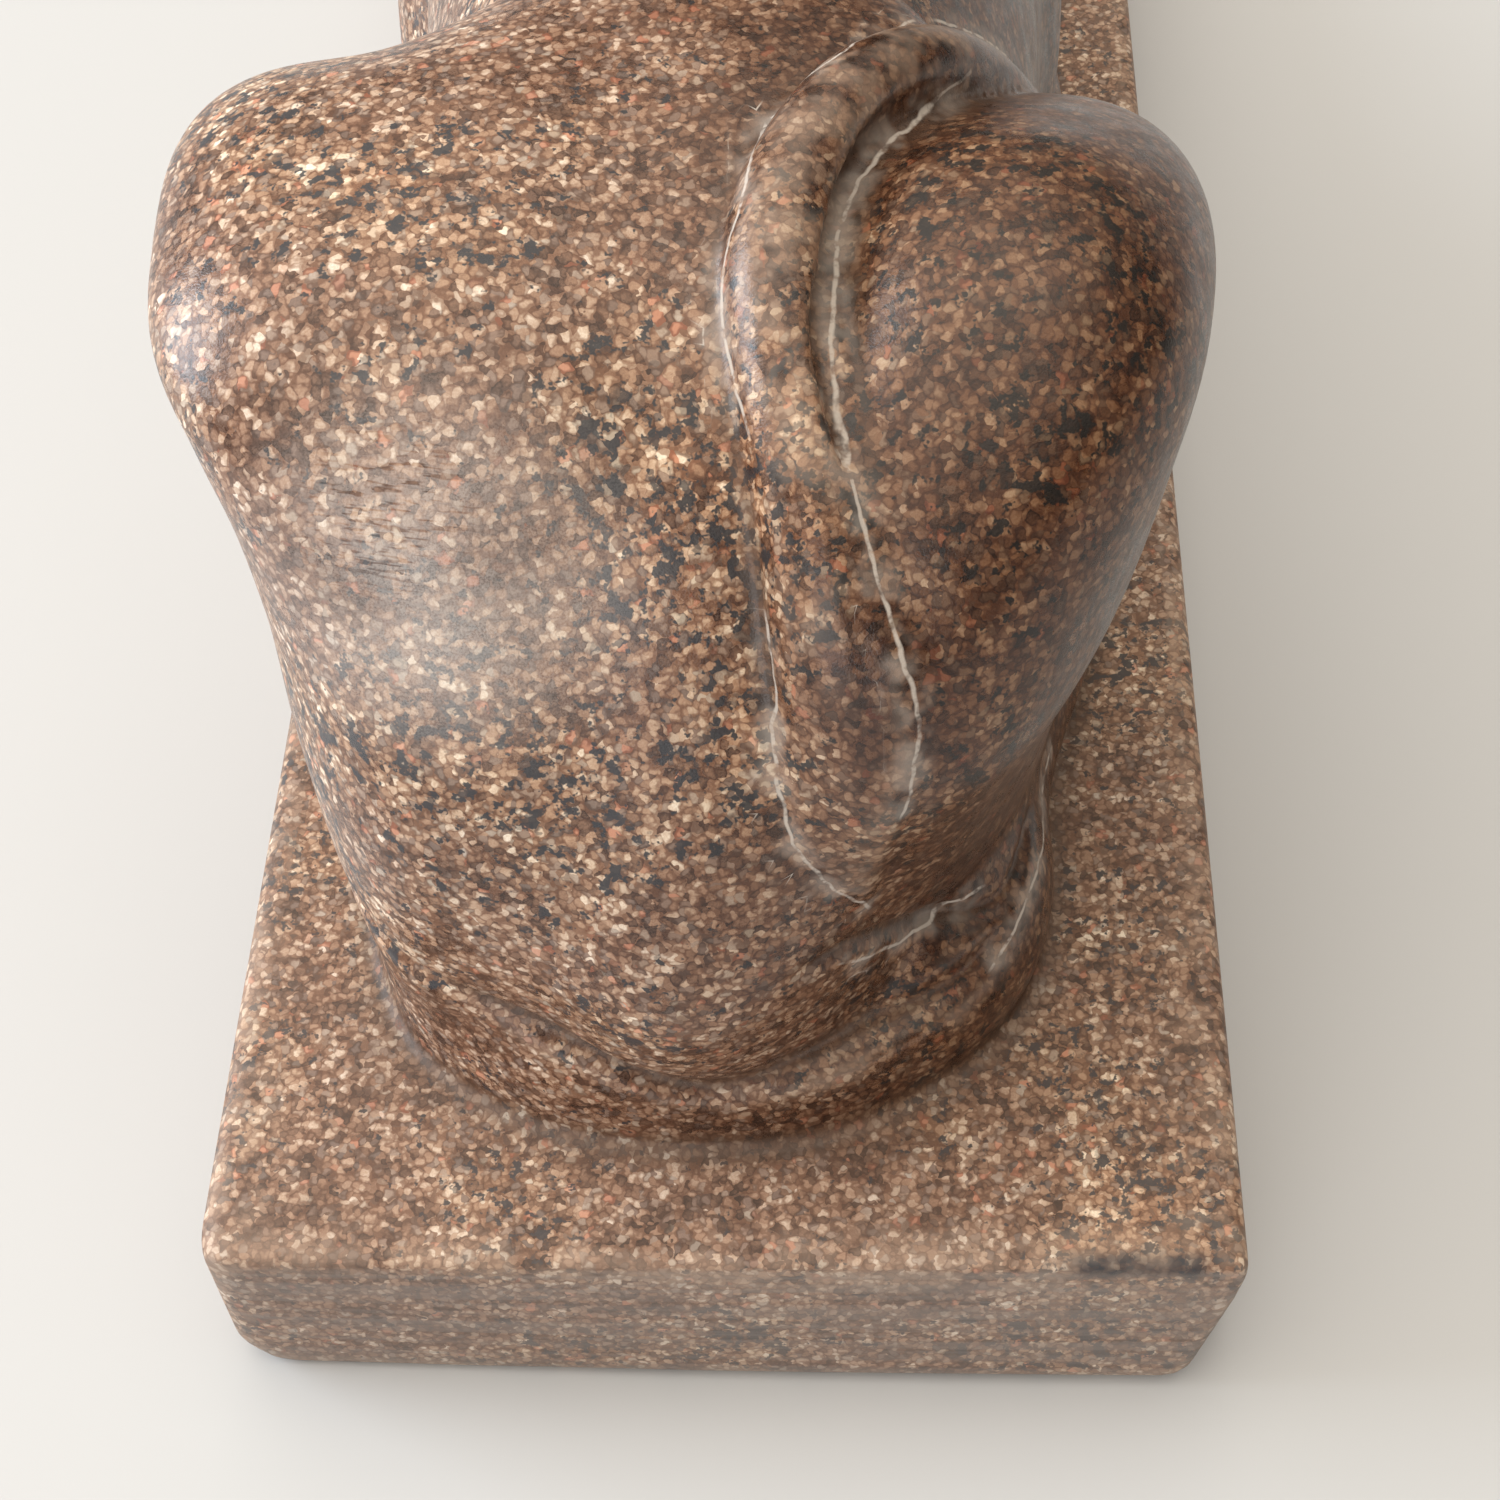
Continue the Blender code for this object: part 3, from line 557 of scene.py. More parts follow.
MOUTH = (
    (-0.052, 1.122, 0.003),
    (-0.025, 1.118, 0.005),
    (0.000, 1.120, 0.005),
    (0.025, 1.118, 0.005),
    (0.052, 1.122, 0.003),
)

# Round masses: (side, forward, up), (half width, half length, half height)
RIGHT_KNEE = (0.265, 0.78, 0.36), (0.12, 0.29, 0.27)
LEFT_KNEE = (-0.285, 0.78, 0.36), (0.12, 0.29, 0.27)
RIGHT_HEEL = (0.186, 0.38, 0.08), (0.146, 0.186, 0.150)
FORE_PAW = (0.218, 2.345, 0.080), (0.116, 0.155, 0.098)
HIND_PAW = (0.360, 1.15, 0.050), (0.078, 0.110, 0.074)
NECK = (0, 1.74, 1.00), (0.16, 0.17, 0.22)
FACE = (0, 1.830, 1.245), (0.158, 0.155, 0.230)
JAW = (0, 1.880, 1.120), (0.108, 0.100, 0.092)
CHIN = (0, 1.958, 1.055), (0.042, 0.032, 0.032)
CHEEK = (0.080, 1.925, 1.185), (0.052, 0.040, 0.058)
EYE_SOCKET = (0.070, 2.002, 1.270), (0.054, 0.046, 0.030)
EYE = (0.071, 1.946, 1.265), (0.044, 0.025, 0.021)
NOSTRIL = (0.025, 1.984, 1.182), (0.017, 0.024, 0.015)
EAR = (0.180, 1.900, 1.238), (0.028, 0.020, 0.052)
EAR_HOLLOW = (0.178, 1.927, 1.243), (0.015, 0.013, 0.034)
UPPER_LIP = (0, 1.970, 1.131), (0.047, 0.022, 0.012)
LOWER_LIP = (0, 1.969, 1.105), (0.038, 0.023, 0.014)
KNEE_TILT = -25
EAR_TURN = 15
TOES = (-1, 0, 1)

# Grooves between the toes: shares of the paw's width and reach, and degrees round its front
TOE_SPACING = 0.47
TOE_GROOVE = 0.17
TOE_PROUD = 1.03
TOE_ANGLES = range(65, -44, -18)

# How much nearer the middle each shoulder sits than the arm's own line
RIGHT_SHOULDER_IN = 0.048
LEFT_SHOULDER_IN = 0.010

# Edges of the plinth on the grid
REAR = GRID_REAR - END_LEDGE / SQUARE
FRONT = GRID_FRONT + END_LEDGE / SQUARE
EDGE = PLINTH_WIDTH / SQUARE / 2
BASE = -PLINTH_HEIGHT / SQUARE

# Planes that wear has taken off the plinth: a place in the plane, the way it faces, and how softly it ends
WORN = (
    ((0, REAR, 0), (0, -1, REAR_LEAN / PLINTH_HEIGHT), 0.003),
    ((-EDGE, REAR, 0), (-0.033, -1, -0.022), 0.012),
    ((-EDGE + 0.016, REAR, 0), (-1, -1, 0), 0.028),
    ((-EDGE + 0.048, REAR, BASE), (-1, -1, -1), 0.02),
    ((-EDGE + 0.004, 0, 0), (-1, 0, 1), 0.024),
    ((-EDGE + 0.012, 0, BASE), (-1, 0, -1), 0.02),
    ((0, REAR, BASE), (0, -1, -1), 0.016),
    ((EDGE, REAR, -0.02), (1, -0.6, -0.22), 0.01),
    ((EDGE - 0.065, REAR, BASE), (1, -1, -1), 0.006),
    ((-EDGE + 0.022, FRONT, 0), (-1, 1, 0), 0.03),
    ((EDGE - 0.018, FRONT, 0), (1, 1, 0), 0.02),
)


def plinth():
    """The block under the figure."""
    bpy.ops.mesh.primitive_cube_add(size=1)
    obj = bpy.context.object
    obj.scale = (PLINTH_WIDTH, PLINTH_LENGTH, PLINTH_HEIGHT)
    obj.location = (0, 0, PLINTH_HEIGHT / 2)
    bpy.ops.object.transform_apply(scale=True)
    edges = obj.modifiers.new("arris", "BEVEL")
    edges.width = PLINTH_ARRIS
    edges.segments = 3
    return obj


def hindquarters(stone):
    stone.add(loft_along("torso", TORSO), CRISP)
    stone.add(loft_up("rump", RUMP), EASY)
    stone.add(loft_up("left thigh", LEFT_THIGH, -1), FULL)
    stone.add(loft_up("right thigh", RIGHT_THIGH, 1), CLOSE)
    for side, knee in ((1, RIGHT_KNEE), (-1, LEFT_KNEE)):
        stone.add(ellipsoid(*knee, tilt=KNEE_TILT), FULL)
        stone.add(limb("hind foot", HIND_FOOT, side), SOFT)
    stone.add(loft_up("heel band", HEEL_BAND), CLOSE)
    stone.add(ellipsoid(*RIGHT_HEEL), SOFT)
    stone.add(loft_up("left heel", LEFT_HEEL), CRISP, worn=(HEEL_FALL,))
    stone.add(limb("tail end", TAIL_END), CRISP, relief=TAIL_RELIEF)
    stone.add(limb("tail", TAIL), CRISP)
    stone.cut(limb("tail crease", TAIL_CREASE), CRISP)
    stone.cut(limb("hock crease", stone.lay(HOCK_CREASE)), CRISP)
    stone.cut(limb("heel crease", stone.lay(HEEL_CREASE)), CLOSE)


def toe_groove(paw, toe):
    """The line over the front of a paw beside one toe: the paw is an ellipsoid of the tables."""
    (side, forward, up), (wide, long, high) = paw
    across = side + toe * TOE_SPACING * wide
    rows = []
    for angle in TOE_ANGLES:
        along, rise = long * math.cos(math.radians(angle)), high * math.sin(math.radians(angle))
        rows.append((across, forward + TOE_PROUD * along, up + TOE_PROUD * rise, TOE_GROOVE * wide))
    return rows


def forequarters(stone):
    for side, inward in ((1, RIGHT_SHOULDER_IN), (-1, LEFT_SHOULDER_IN)):
        arm = [(across - inward, forward, up, radius) for across, forward, up, radius in UPPER_ARM]
        stone.add(limb("upper arm", arm, side), EASY)
        stone.add(limb("forearm", FOREARM, side), SOFT)
        for paw in (FORE_PAW, HIND_PAW):
            stone.add(ellipsoid(*mirrored(paw, side)), SOFT)
            for toe in TOES:
                stone.cut(limb("toe groove", toe_groove(paw, toe), side), CRISP)


def mirrored(mass, side):
    """A round mass of the tables, on the sphinx's right at side 1 or its left at -1."""
    (across, forward, up), radii = mass
    return (side * across, forward, up), radii


def head(stone):
    stone.add(ellipsoid(*NECK), EASY)
    stone.add(loft_up("headcloth", HEADCLOTH), CLOSE, sloping_pleats)
    stone.add(limb("queue", QUEUE), SOFT)
    for side in (1, -1):
        stone.add(loft_up("lappet", LAPPET, side), CRISP, level_pleats)
    stone.add(ellipsoid(*FACE), CRISP)
    stone.add(ellipsoid(*JAW), EASY)
    stone.add(ellipsoid(*CHIN), SOFT)
    stone.add(limb("brow band", BROW_BAND), CRISP)
    for side in (1, -1):
        stone.add(ellipsoid(*mirrored(CHEEK, side)), SOFT)
        stone.cut(ellipsoid(*mirrored(EYE_SOCKET, side)), SOFT)
        stone.add(ellipsoid(*mirrored(EYE, side)), CRISP / 2)
    upper_lid, lower_lid, brow = (stone.lay(line, 1) for line in (UPPER_LID, LOWER_LID, BROW))
    for side in (1, -1):
        stone.add(limb("upper lid", upper_lid, side), CRISP / 2)
        stone.add(limb("lower lid", lower_lid, side), CRISP / 2)
        stone.add(limb("brow", brow, side), CLOSE)
        stone.add(ellipsoid(*mirrored(NOSTRIL, side)), CRISP)
        stone.add(ellipsoid(*mirrored(EAR, side), turn=side * EAR_TURN), CRISP)
        stone.cut(ellipsoid(*mirrored(EAR_HOLLOW, side)), CRISP)
    stone.add(limb("nose", NOSE), CLOSE)
    stone.add(ellipsoid(*UPPER_LIP), CRISP)
    stone.add(ellipsoid(*LOWER_LIP), CRISP)
    stone.cut(limb("mouth", stone.lay(MOUTH, 1)), CRISP / 2)


def sculpt(grain):
    """The whole figure and plinth as one stone."""
    stone = Block(grain)
    hindquarters(stone)
    forequarters(stone)
    head(stone)
    stone.add(plinth(), CLOSE, worn=WORN)
    return stone


# The fine skin
FINE_GRAIN = 0.0014
FINE_TRIANGLES = 190000

# Marks on the skin, in metres: how far the cube reaches that tells hollows, which take painted
# shade, from ridges, and how far dust lies from its line
HOLLOW_REACH = 0.0056
DUST_REACH = 0.006

# Where pale dust lies in thin lines, as (side, forward, up) on the grid
DUST_LINES = (
    ((0.190, 0.790, 0.820), (0.136, 0.665, 0.885), (0.075, 0.611, 0.859), (0.061, 0.509, 0.875),
     (0.043, 0.447, 0.847), (0.044, 0.391, 0.821), (0.058, 0.335, 0.795)),
    ((0.235, 0.700, 0.826), (0.169, 0.595, 0.838), (0.142, 0.526, 0.834), (0.132, 0.450, 0.827),
     (0.131, 0.345, 0.805), (0.149, 0.269, 0.764), (0.174, 0.202, 0.692), (0.196, 0.163, 0.612),
     (0.188, 0.146, 0.528)),
    ((0.075, 0.223, 0.644), (0.079, 0.201, 0.606), (0.078, 0.185, 0.561), (0.083, 0.158, 0.492),
     (0.105, 0.150, 0.427), (0.146, 0.167, 0.350)),
    ((0.138, 0.170, 0.254), (0.184, 0.231, 0.201), (0.242, 0.280, 0.195)),
    ((0.334, 0.519, 0.102), (0.323, 0.408, 0.130), (0.303, 0.310, 0.148), (0.279, 0.259, 0.137)),
    ((0.226, 0.967, 0.691), (0.267, 1.021, 0.632), (0.288, 1.052, 0.592)),
)

# The photograph's camera: its place on the grid, its turns in degrees, its focal length in
# pixels, and the width of its sensor in millimetres
PHOTO_SIZE = 1500
FOCAL_PIXELS = 2665
CAMERA_PLACE = (0.184, -1.186, 2.291)
CAMERA_PITCH = 51.7
CAMERA_YAW = -5.31
CAMERA_ROLL = -4.66
SENSOR_WIDTH = 36


def finest(obj):
    """Works the skin down to the number of faces that a piece may have, with a flat underside."""
    fewer = obj.modifiers.new("faces", "DECIMATE")
    fewer.ratio = min(1, FINE_TRIANGLES / (2 * len(obj.data.polygons)))
    graph = bpy.context.evaluated_depsgraph_get()
    worked = bpy.data.meshes.new_from_object(obj.evaluated_get(graph))
    obj.modifiers.clear()
    obj.data = worked
    for vertex in worked.vertices:
        if vertex.co.z < FINE_GRAIN / 2:
            vertex.co.z = 0
    worked.shade_smooth()


def mean_around(field, cells):
    """The field's mean over a cube that reaches so many cells each way."""
    for axis in range(3):
        line = np.moveaxis(field, axis, 0)
        sums = np.cumsum(line, axis=0, dtype=np.float64)
        width = 2 * cells + 1
        mean = line.copy()
        mean[cells + 1:-cells] = (sums[width:] - sums[:-width]) / width
        field = np.moveaxis(mean, 0, axis)
    return field


def sampled(stone, field, points):
    """The field's values at points, between the cells of the stone's grid."""
    places = points / stone.grain - stone.start
    low = np.floor(places).astype(int)
    share = places - low
    total = np.zeros(len(points))
    for corner in np.ndindex(2, 2, 2):
        weight = np.prod(np.where(corner, share, 1 - share), axis=1)
        total += weight * field[tuple((low + corner).T)]
    return total


def off_line(path, points, normals):
    """How far points lie from a path, and how far to its side along the skin."""
    away = np.full(len(points), np.inf)
    sideways = np.zeros(len(points))
    for start, run in zip(path, np.diff(path, axis=0)):
        share = np.clip((points - start) @ run / (run @ run), 0, 1)
        gap = points - start - share[:, None] * run
        reach = np.linalg.norm(gap, axis=1)
        closer = reach < away
        across = np.cross(normals[closer], run / np.linalg.norm(run))
        sideways[closer] = (gap[closer] * across).sum(axis=1)
        away[closer] = reach[closer]
    return away, sideways


def mark_hollows_and_dust(obj, stone):
    """Marks the skin's points: how hollow the stone is there, and where dust lies in a line."""
    mesh = obj.data
    count = len(mesh.vertices)
    points, normals = np.empty(count * 3, np.float32), np.empty(count * 3, np.float32)
    mesh.vertices.foreach_get("co", points)
    mesh.vertex_normals.foreach_get("vector", normals)
    points, normals = points.reshape(-1, 3), normals.reshape(-1, 3)
    hollow = stone.distance - mean_around(stone.distance, round(HOLLOW_REACH / stone.grain))
    dusty, sideways = np.zeros(count), np.full(count, DUST_REACH)
    for line in DUST_LINES:
        path = np.array([at(*place) for place in smooth_stations(line)])
        low, high = path.min(axis=0) - DUST_REACH, path.max(axis=0) + DUST_REACH
        close = np.flatnonzero(((points > low) & (points < high)).all(axis=1))
        away, offset = off_line(path, points[close], normals[close])
        share = 1 - away / DUST_REACH
        nearer = share > dusty[close]
        dusty[close[nearer]] = share[nearer]
        sideways[close[nearer]] = offset[nearer]
    marks = {"hollow": sampled(stone, hollow, points), "dusty": dusty, "sideways": sideways}
    for name, values in marks.items():
        mesh.attributes.new(name, "FLOAT", "POINT").data.foreach_set("value", values.astype(np.float32))


class Nodes:
    """Short ways to wire a material."""

    def __init__(self, name):
        self.material = bpy.data.materials.new(name)
        self.material.use_nodes = True
        self.tree = self.material.node_tree
        self.shader = self.tree.nodes["Principled BSDF"]

    def link(self, value, socket):
        if isinstance(value, bpy.types.NodeSocket):
            self.tree.links.new(value, socket)
        else:
            socket.default_value = value

    def new(self, kind, **settings):
        node = self.tree.nodes.new("ShaderNode" + kind)
        for name, value in settings.items():
            setattr(node, name, value)
        return node

    def math(self, operation, a, b=0.0, clamp=False):
        node = self.new("Math", operation=operation, use_clamp=clamp)
        self.link(a, node.inputs[0])
        self.link(b, node.inputs[1])
        return node.outputs[0]

    def product(self, a, b, clamp=False):
        return self.math("MULTIPLY", a, b, clamp)

    def vector(self, operation, a, b):
        node = self.new("VectorMath", operation=operation)
        self.link(a, node.inputs[0])
        self.link(b, node.inputs[3] if operation == "SCALE" else node.inputs[1])
        return node.outputs["Value" if operation == "DISTANCE" else "Vector"]

    def between(self, value, low, high, start=0.0, end=1.0):
        """Runs smoothly from start to end as value goes from low to high."""
        node = self.new("MapRange", interpolation_type="SMOOTHSTEP")
        for socket, number in zip(node.inputs, (value, low, high, start, end)):
            self.link(number, socket)
        return node.outputs[0]

    def noise(self, place, scale, detail, rough, output="Fac"):
        node = self.new("TexNoise")
        self.link(place, node.inputs["Vector"])
        node.inputs["Scale"].default_value = scale
        node.inputs["Detail"].default_value = detail
        node.inputs["Roughness"].default_value = rough
        return node.outputs[output]

    def cells(self, place, scale):
        node = self.new("TexVoronoi")
        self.link(place, node.inputs["Vector"])
        node.inputs["Scale"].default_value = scale
        return node

    def parts(self, kind, value):
        """The three numbers of a colour or of a place."""
        node = self.new(kind)
        self.link(value, node.inputs[0])
        return node.outputs

    def mark(self, name):
        """A number kept on the mesh's points."""
        return self.new("Attribute", attribute_type="GEOMETRY", attribute_name=name).outputs["Fac"]

    def ramp(self, value, stops):
        node = self.new("ValToRGB")
        lay_stops(node.color_ramp, stops)
        self.link(value, node.inputs[0])
        return node.outputs[0]

    def mix(self, share, a, b, blend="MIX"):
        node = self.new("Mix", data_type="RGBA", blend_type=blend)
        for name, value in (("Factor_Float", share), ("A_Color", a), ("B_Color", b)):
            socket = next(s for s in node.inputs if s.identifier == name)
            self.link((*value, 1) if isinstance(value, tuple) else value, socket)
        return next(s for s in node.outputs if s.identifier == "Result_Color")

    def turned(self, place, angle):
        """The place turned about the Y axis."""
        node = self.new("VectorRotate", rotation_type="Y_AXIS")
        self.link(place, node.inputs["Vector"])
        node.inputs["Angle"].default_value = angle
        return node.outputs[0]


def lay_stops(ramp, stops):
    """Gives a ramp its stops, each a share of the way and a colour."""
    while len(ramp.elements) < len(stops):
        ramp.elements.new(0.5)
    for mark, (share, colour) in zip(ramp.elements, stops):
        mark.position = share
        mark.color = (*colour, 1)


# The granite's noises: (scale, detail, roughness)
WAVER_NOISE = (520, 1, 0.5)
CLOUD_NOISE = (22, 2, 0.55)
PATCH_NOISE = (120, 2, 0.6)
RAGGED_NOISE = (260, 3, 0.68)
GRIT_NOISE = (2400, 1, 0.6)
SCRATCH_NOISE = (1, 1, 0.6)
SAW_NOISE = (1, 2, 0.6)

# The mosaic: grains to a metre, how far they waver, and how much lighter one may be than another
GRAINS = 590
WAVER = 0.0026
GRAIN_SPREAD = 0.74
FELDSPAR = (
    (0.00, (0.060, 0.032, 0.022)),
    (0.15, (0.130, 0.070, 0.045)),
    (0.32, (0.240, 0.136, 0.087)),
    (0.48, (0.360, 0.218, 0.142)),
    (0.62, (0.450, 0.292, 0.200)),
    (0.76, (0.570, 0.420, 0.310)),
    (0.90, (0.740, 0.610, 0.490)),
    (1.00, (0.880, 0.790, 0.680)),
)
SALMON = (0.600, 0.270, 0.170)
CREAM = (0.760, 0.670, 0.550)
QUARTZ = (0.235, 0.190, 0.170)
MICA = (0.026, 0.029, 0.038)
SEAM = (0.40, 0.28, 0.22)
CLOUDS = (
    (0.30, (0.66, 0.58, 0.54)),
    (0.45, (0.86, 0.80, 0.77)),
    (0.60, (1.00, 0.95, 0.88)),
    (0.75, (1.14, 1.04, 0.92)),
)

# What lies on the stone or has worn it, the painted shade and sheen, and how much of it shows or wavers
# Painted shade on the figure's right side, painted light on its left side and on the plinth
SIDE_SHADE_AND_LIGHT = (
    (0.0, (0.37, 0.27, 0.20)),
    (0.5, (0.82, 0.76, 0.71)),
    (1.0, (1.15, 1.18, 1.22)),
)
SIDE_SHADE_WAVER = 0.05
SAND = (0.440, 0.330, 0.255)
SAND_ON_PLINTH = 0.10
SAND_ON_RIDGES = 0.30
SAWN = (0.250, 0.215, 0.195)
# Painted shade in the hollows
PAINTED_HOLLOW_SHADE = (0.085, 0.050, 0.033)
DUST = (0.620, 0.550, 0.490)
DUST_WAVER = 0.0026
# A painted sheen: a whitish highlight on the left haunch
PAINTED_SHEEN = (0.780, 0.730, 0.710)

# Where the painted sheen and its scratches lie, in metres, and how scratches and saw marks stretch
PAINTED_SHEEN_PLACE = (0.040, 0.208, 0.184)
PAINTED_SHEEN_REACH = 0.042
SCRATCH_PLACE = (0.046, 0.202, 0.194)
SCRATCH_SLOPE = 0.17
SCRATCH_STRETCH = (55, 1500, 1500)
SAW_STRETCH = (8, 8, 420)
REAR_END = PLINTH_LENGTH / 2

# Smooth steps: (low, high), and what they lead from and to where that isn't 0 and 1.
# These go by a noise, a grain's own numbers or a share
PATCH_LIGHT = (0.32, 0.68, -0.02, 0.24)
GRIT_LIGHT = (0.30, 0.70, -0.03, 0.07)
QUARTZ_GRAINS = (0.70, 0.86, 0, 0.55)
SALMON_GRAINS = (0.970, 0.985, 0, 0.75)
CREAM_GRAINS = (0.030, 0.015, 0, 0.45)
SEAMS = (0.36, 0.64, 0, 0.85)
CLOUDY_MICA = (0.35, 0.65, 0, 0.12)
MICA_CLUSTERS = (0.640, 0.690)
MICA_GRAINS = (0.10, 0.35, 0.35, 0.95)
CLOUDY_PAINTED_SHEEN = (0.30, 0.60, 0.5, 1)
SCRATCHES = (0.50, 0.66)
SCRATCHED_PAINTED_SHEEN = (0, 1, 0.44, 0.08)
GRITTY_PAINTED_SHEEN = (0.30, 0.65, 0.65, 1)
SAW_MARKS = (0.35, 0.65, 0.25, 0.60)
ARRIS_CLOUDS = (0.52, 0.62, 0, 0.75)
WORN_PATCHES = (0.35, 0.60)
BROKEN_STRANDS = (0.34, 0.56, 0.15, 1)
BROKEN_HAZE = (0.40, 0.62)
DUSTY = (0, 0.45)

# and these by a place, a depth or a distance in metres
PLINTH_TOP = (PLINTH_HEIGHT + 0.0005, PLINTH_HEIGHT + 0.0030, 1, 0)
PAINTED_SHADE_SIDE = (-0.030, 0.055)
PAINTED_SHEEN_EDGE = (PAINTED_SHEEN_REACH * 0.25, PAINTED_SHEEN_REACH, 1, 0)
SCORED_EDGE = (PAINTED_SHEEN_REACH * 0.15, PAINTED_SHEEN_REACH * 0.55, 1, 0)
REAR_FACE = (REAR_END - 0.0080, REAR_END - 0.0045)
BELOW_ARRIS = (PLINTH_HEIGHT - 0.0035, PLINTH_HEIGHT - 0.0015, 1, 0)
ON_ARRIS = (PLINTH_HEIGHT - 0.0060, PLINTH_HEIGHT - 0.0015)
# How hollow the stone must be for the painted shade
SHADED_HOLLOWS = (0.00025, 0.00120, 0, 0.60)
RIDGES = (-0.00110, -0.00030, 1, 0)
DUST_STRAND = (0.00015, 0.00060, 0.80, 0)
DUST_HAZE = (0.0004, 0.0050, 0.30, 0)

# Gloss: the shader's roughness by patches and grit, what the plinth and dust add to it, and
# how strong and how deep the polish's unevenness is
PATCH_GLOSS = (0.3, 0.7, 0.24, 0.36)
GRIT_GLOSS = (0.35, 0.65, 0, 0.08)
MATT_PLINTH = 0.26
MATT_DUST = 0.30
BUMP_STRENGTH = 0.30
BUMP_DEPTH = 0.00018


class Granite(Nodes):
    """Worn granite: a fine mosaic of brown feldspars and grey quartz, mica and dust, with painted shade in
    the hollows and on the right side, and a painted sheen on the left haunch.
    """

    def __init__(self, name):
        super().__init__(name)
        self.place = self.new("TexCoord").outputs["Object"]
        self.clouds = self.noise(self.place, *CLOUD_NOISE)
        self.patches = self.noise(self.place, *PATCH_NOISE)
        self.ragged = self.noise(self.place, *RAGGED_NOISE)
        self.grit = self.noise(self.place, *GRIT_NOISE)
        x, y, z = self.parts("SeparateXYZ", self.place)
        self.plinth = self.between(z, *PLINTH_TOP)
        self.colour = self.mosaic()
        self.clouds_and_painted_side_shade(x)
        self.painted_sheen()
        self.saw(y, z)
        self.shade_hollows_and_wear_ridges()
        dust = self.dust()
        self.link(self.colour, self.shader.inputs["Base Color"])
        self.gloss(dust)

    def paint(self, share, colour, blend="MIX"):
        """Lays a colour on the stone."""
        self.colour = self.mix(share, self.colour, colour, blend)

    def mosaic(self):
        """Grains with dark seams, a salmon, cream or grey one here and there, and mica in clusters."""
        waver = self.noise(self.place, *WAVER_NOISE, "Color")
        shift = self.vector("SCALE", self.vector("SUBTRACT", waver, (0.5, 0.5, 0.5)), WAVER)
        cells = self.cells(self.vector("ADD", self.place, shift), GRAINS)
        light, rare, grey = self.parts("SeparateColor", cells.outputs["Color"])
        choice = self.math("ADD", self.product(light, GRAIN_SPREAD), self.between(self.patches, *PATCH_LIGHT))
        choice = self.math("ADD", choice, self.between(self.grit, *GRIT_LIGHT))
        colour = self.ramp(choice, FELDSPAR)
        colour = self.mix(self.between(grey, *QUARTZ_GRAINS), colour, QUARTZ)
        colour = self.mix(self.between(rare, *SALMON_GRAINS), colour, SALMON)
        colour = self.mix(self.between(rare, *CREAM_GRAINS), colour, CREAM)
        colour = self.mix(self.between(cells.outputs["Distance"], *SEAMS), colour, SEAM, "MULTIPLY")
        mica = self.math("ADD", self.ragged, self.between(self.clouds, *CLOUDY_MICA))
        mica = self.product(self.between(mica, *MICA_CLUSTERS), self.between(rare, *MICA_GRAINS))
        return self.mix(mica, colour, MICA)

    def clouds_and_painted_side_shade(self, x):
        """Darkens the stone in clouds, paints shade on the figure towards its right side, and paints light on
        its left side and on the plinth.
        """
        self.paint(1.0, self.ramp(self.clouds, CLOUDS), "MULTIPLY")
        # Painted shade towards the figure's right side, painted light towards its left side and on the plinth
        clouds_and_painted_side_shade = self.between(self.math("ADD", x, self.product(self.clouds, SIDE_SHADE_WAVER)), *PAINTED_SHADE_SIDE)
        self.paint(1.0, self.ramp(self.math("MAXIMUM", clouds_and_painted_side_shade, self.plinth), SIDE_SHADE_AND_LIGHT), "MULTIPLY")

    def painted_sheen(self):
        """A painted milky sheen, standing for a highlight, with fine scratches on the left haunch."""
        painted_sheen = self.between(self.vector("DISTANCE", self.place, PAINTED_SHEEN_PLACE), *PAINTED_SHEEN_EDGE)
        painted_sheen = self.product(painted_sheen, self.between(self.clouds, *CLOUDY_PAINTED_SHEEN))
        drawn = self.vector("MULTIPLY", self.turned(self.place, SCRATCH_SLOPE), SCRATCH_STRETCH)
        scored = self.between(self.vector("DISTANCE", self.place, SCRATCH_PLACE), *SCORED_EDGE)
        scored = self.product(scored, self.between(self.noise(drawn, *SCRATCH_NOISE), *SCRATCHES))
        painted_sheen = self.product(painted_sheen, self.between(scored, *SCRATCHED_PAINTED_SHEEN))
        # Paints the whitish sheen, a highlight, on the left haunch
        self.paint(self.product(painted_sheen, self.between(self.grit, *GRITTY_PAINTED_SHEEN)), PAINTED_SHEEN)

    def saw(self, y, z):
        """A sandy plinth, with saw marks on its rear face and stains along that face's arris."""
        self.paint(self.product(self.plinth, SAND_ON_PLINTH), SAND)
        rear = self.between(y, *REAR_FACE)
        marks = self.noise(self.vector("MULTIPLY", self.place, SAW_STRETCH), *SAW_NOISE)
        sawn = self.product(rear, self.between(z, *BELOW_ARRIS))
        self.paint(self.product(sawn, self.between(marks, *SAW_MARKS)), SAWN)
        stained = self.product(rear, self.between(z, *ON_ARRIS))
        self.paint(self.product(stained, self.between(self.clouds, *ARRIS_CLOUDS)), MICA)

    def shade_hollows_and_wear_ridges(self):
        """Painted shade in the hollows and wear on the ridges."""
        hollow = self.mark("hollow")
        # Painted shade in the hollows
        self.paint(self.between(hollow, *SHADED_HOLLOWS), PAINTED_HOLLOW_SHADE)
        worn = self.product(self.between(hollow, *RIDGES), self.between(self.patches, *WORN_PATCHES))
        self.paint(self.product(worn, SAND_ON_RIDGES), SAND)

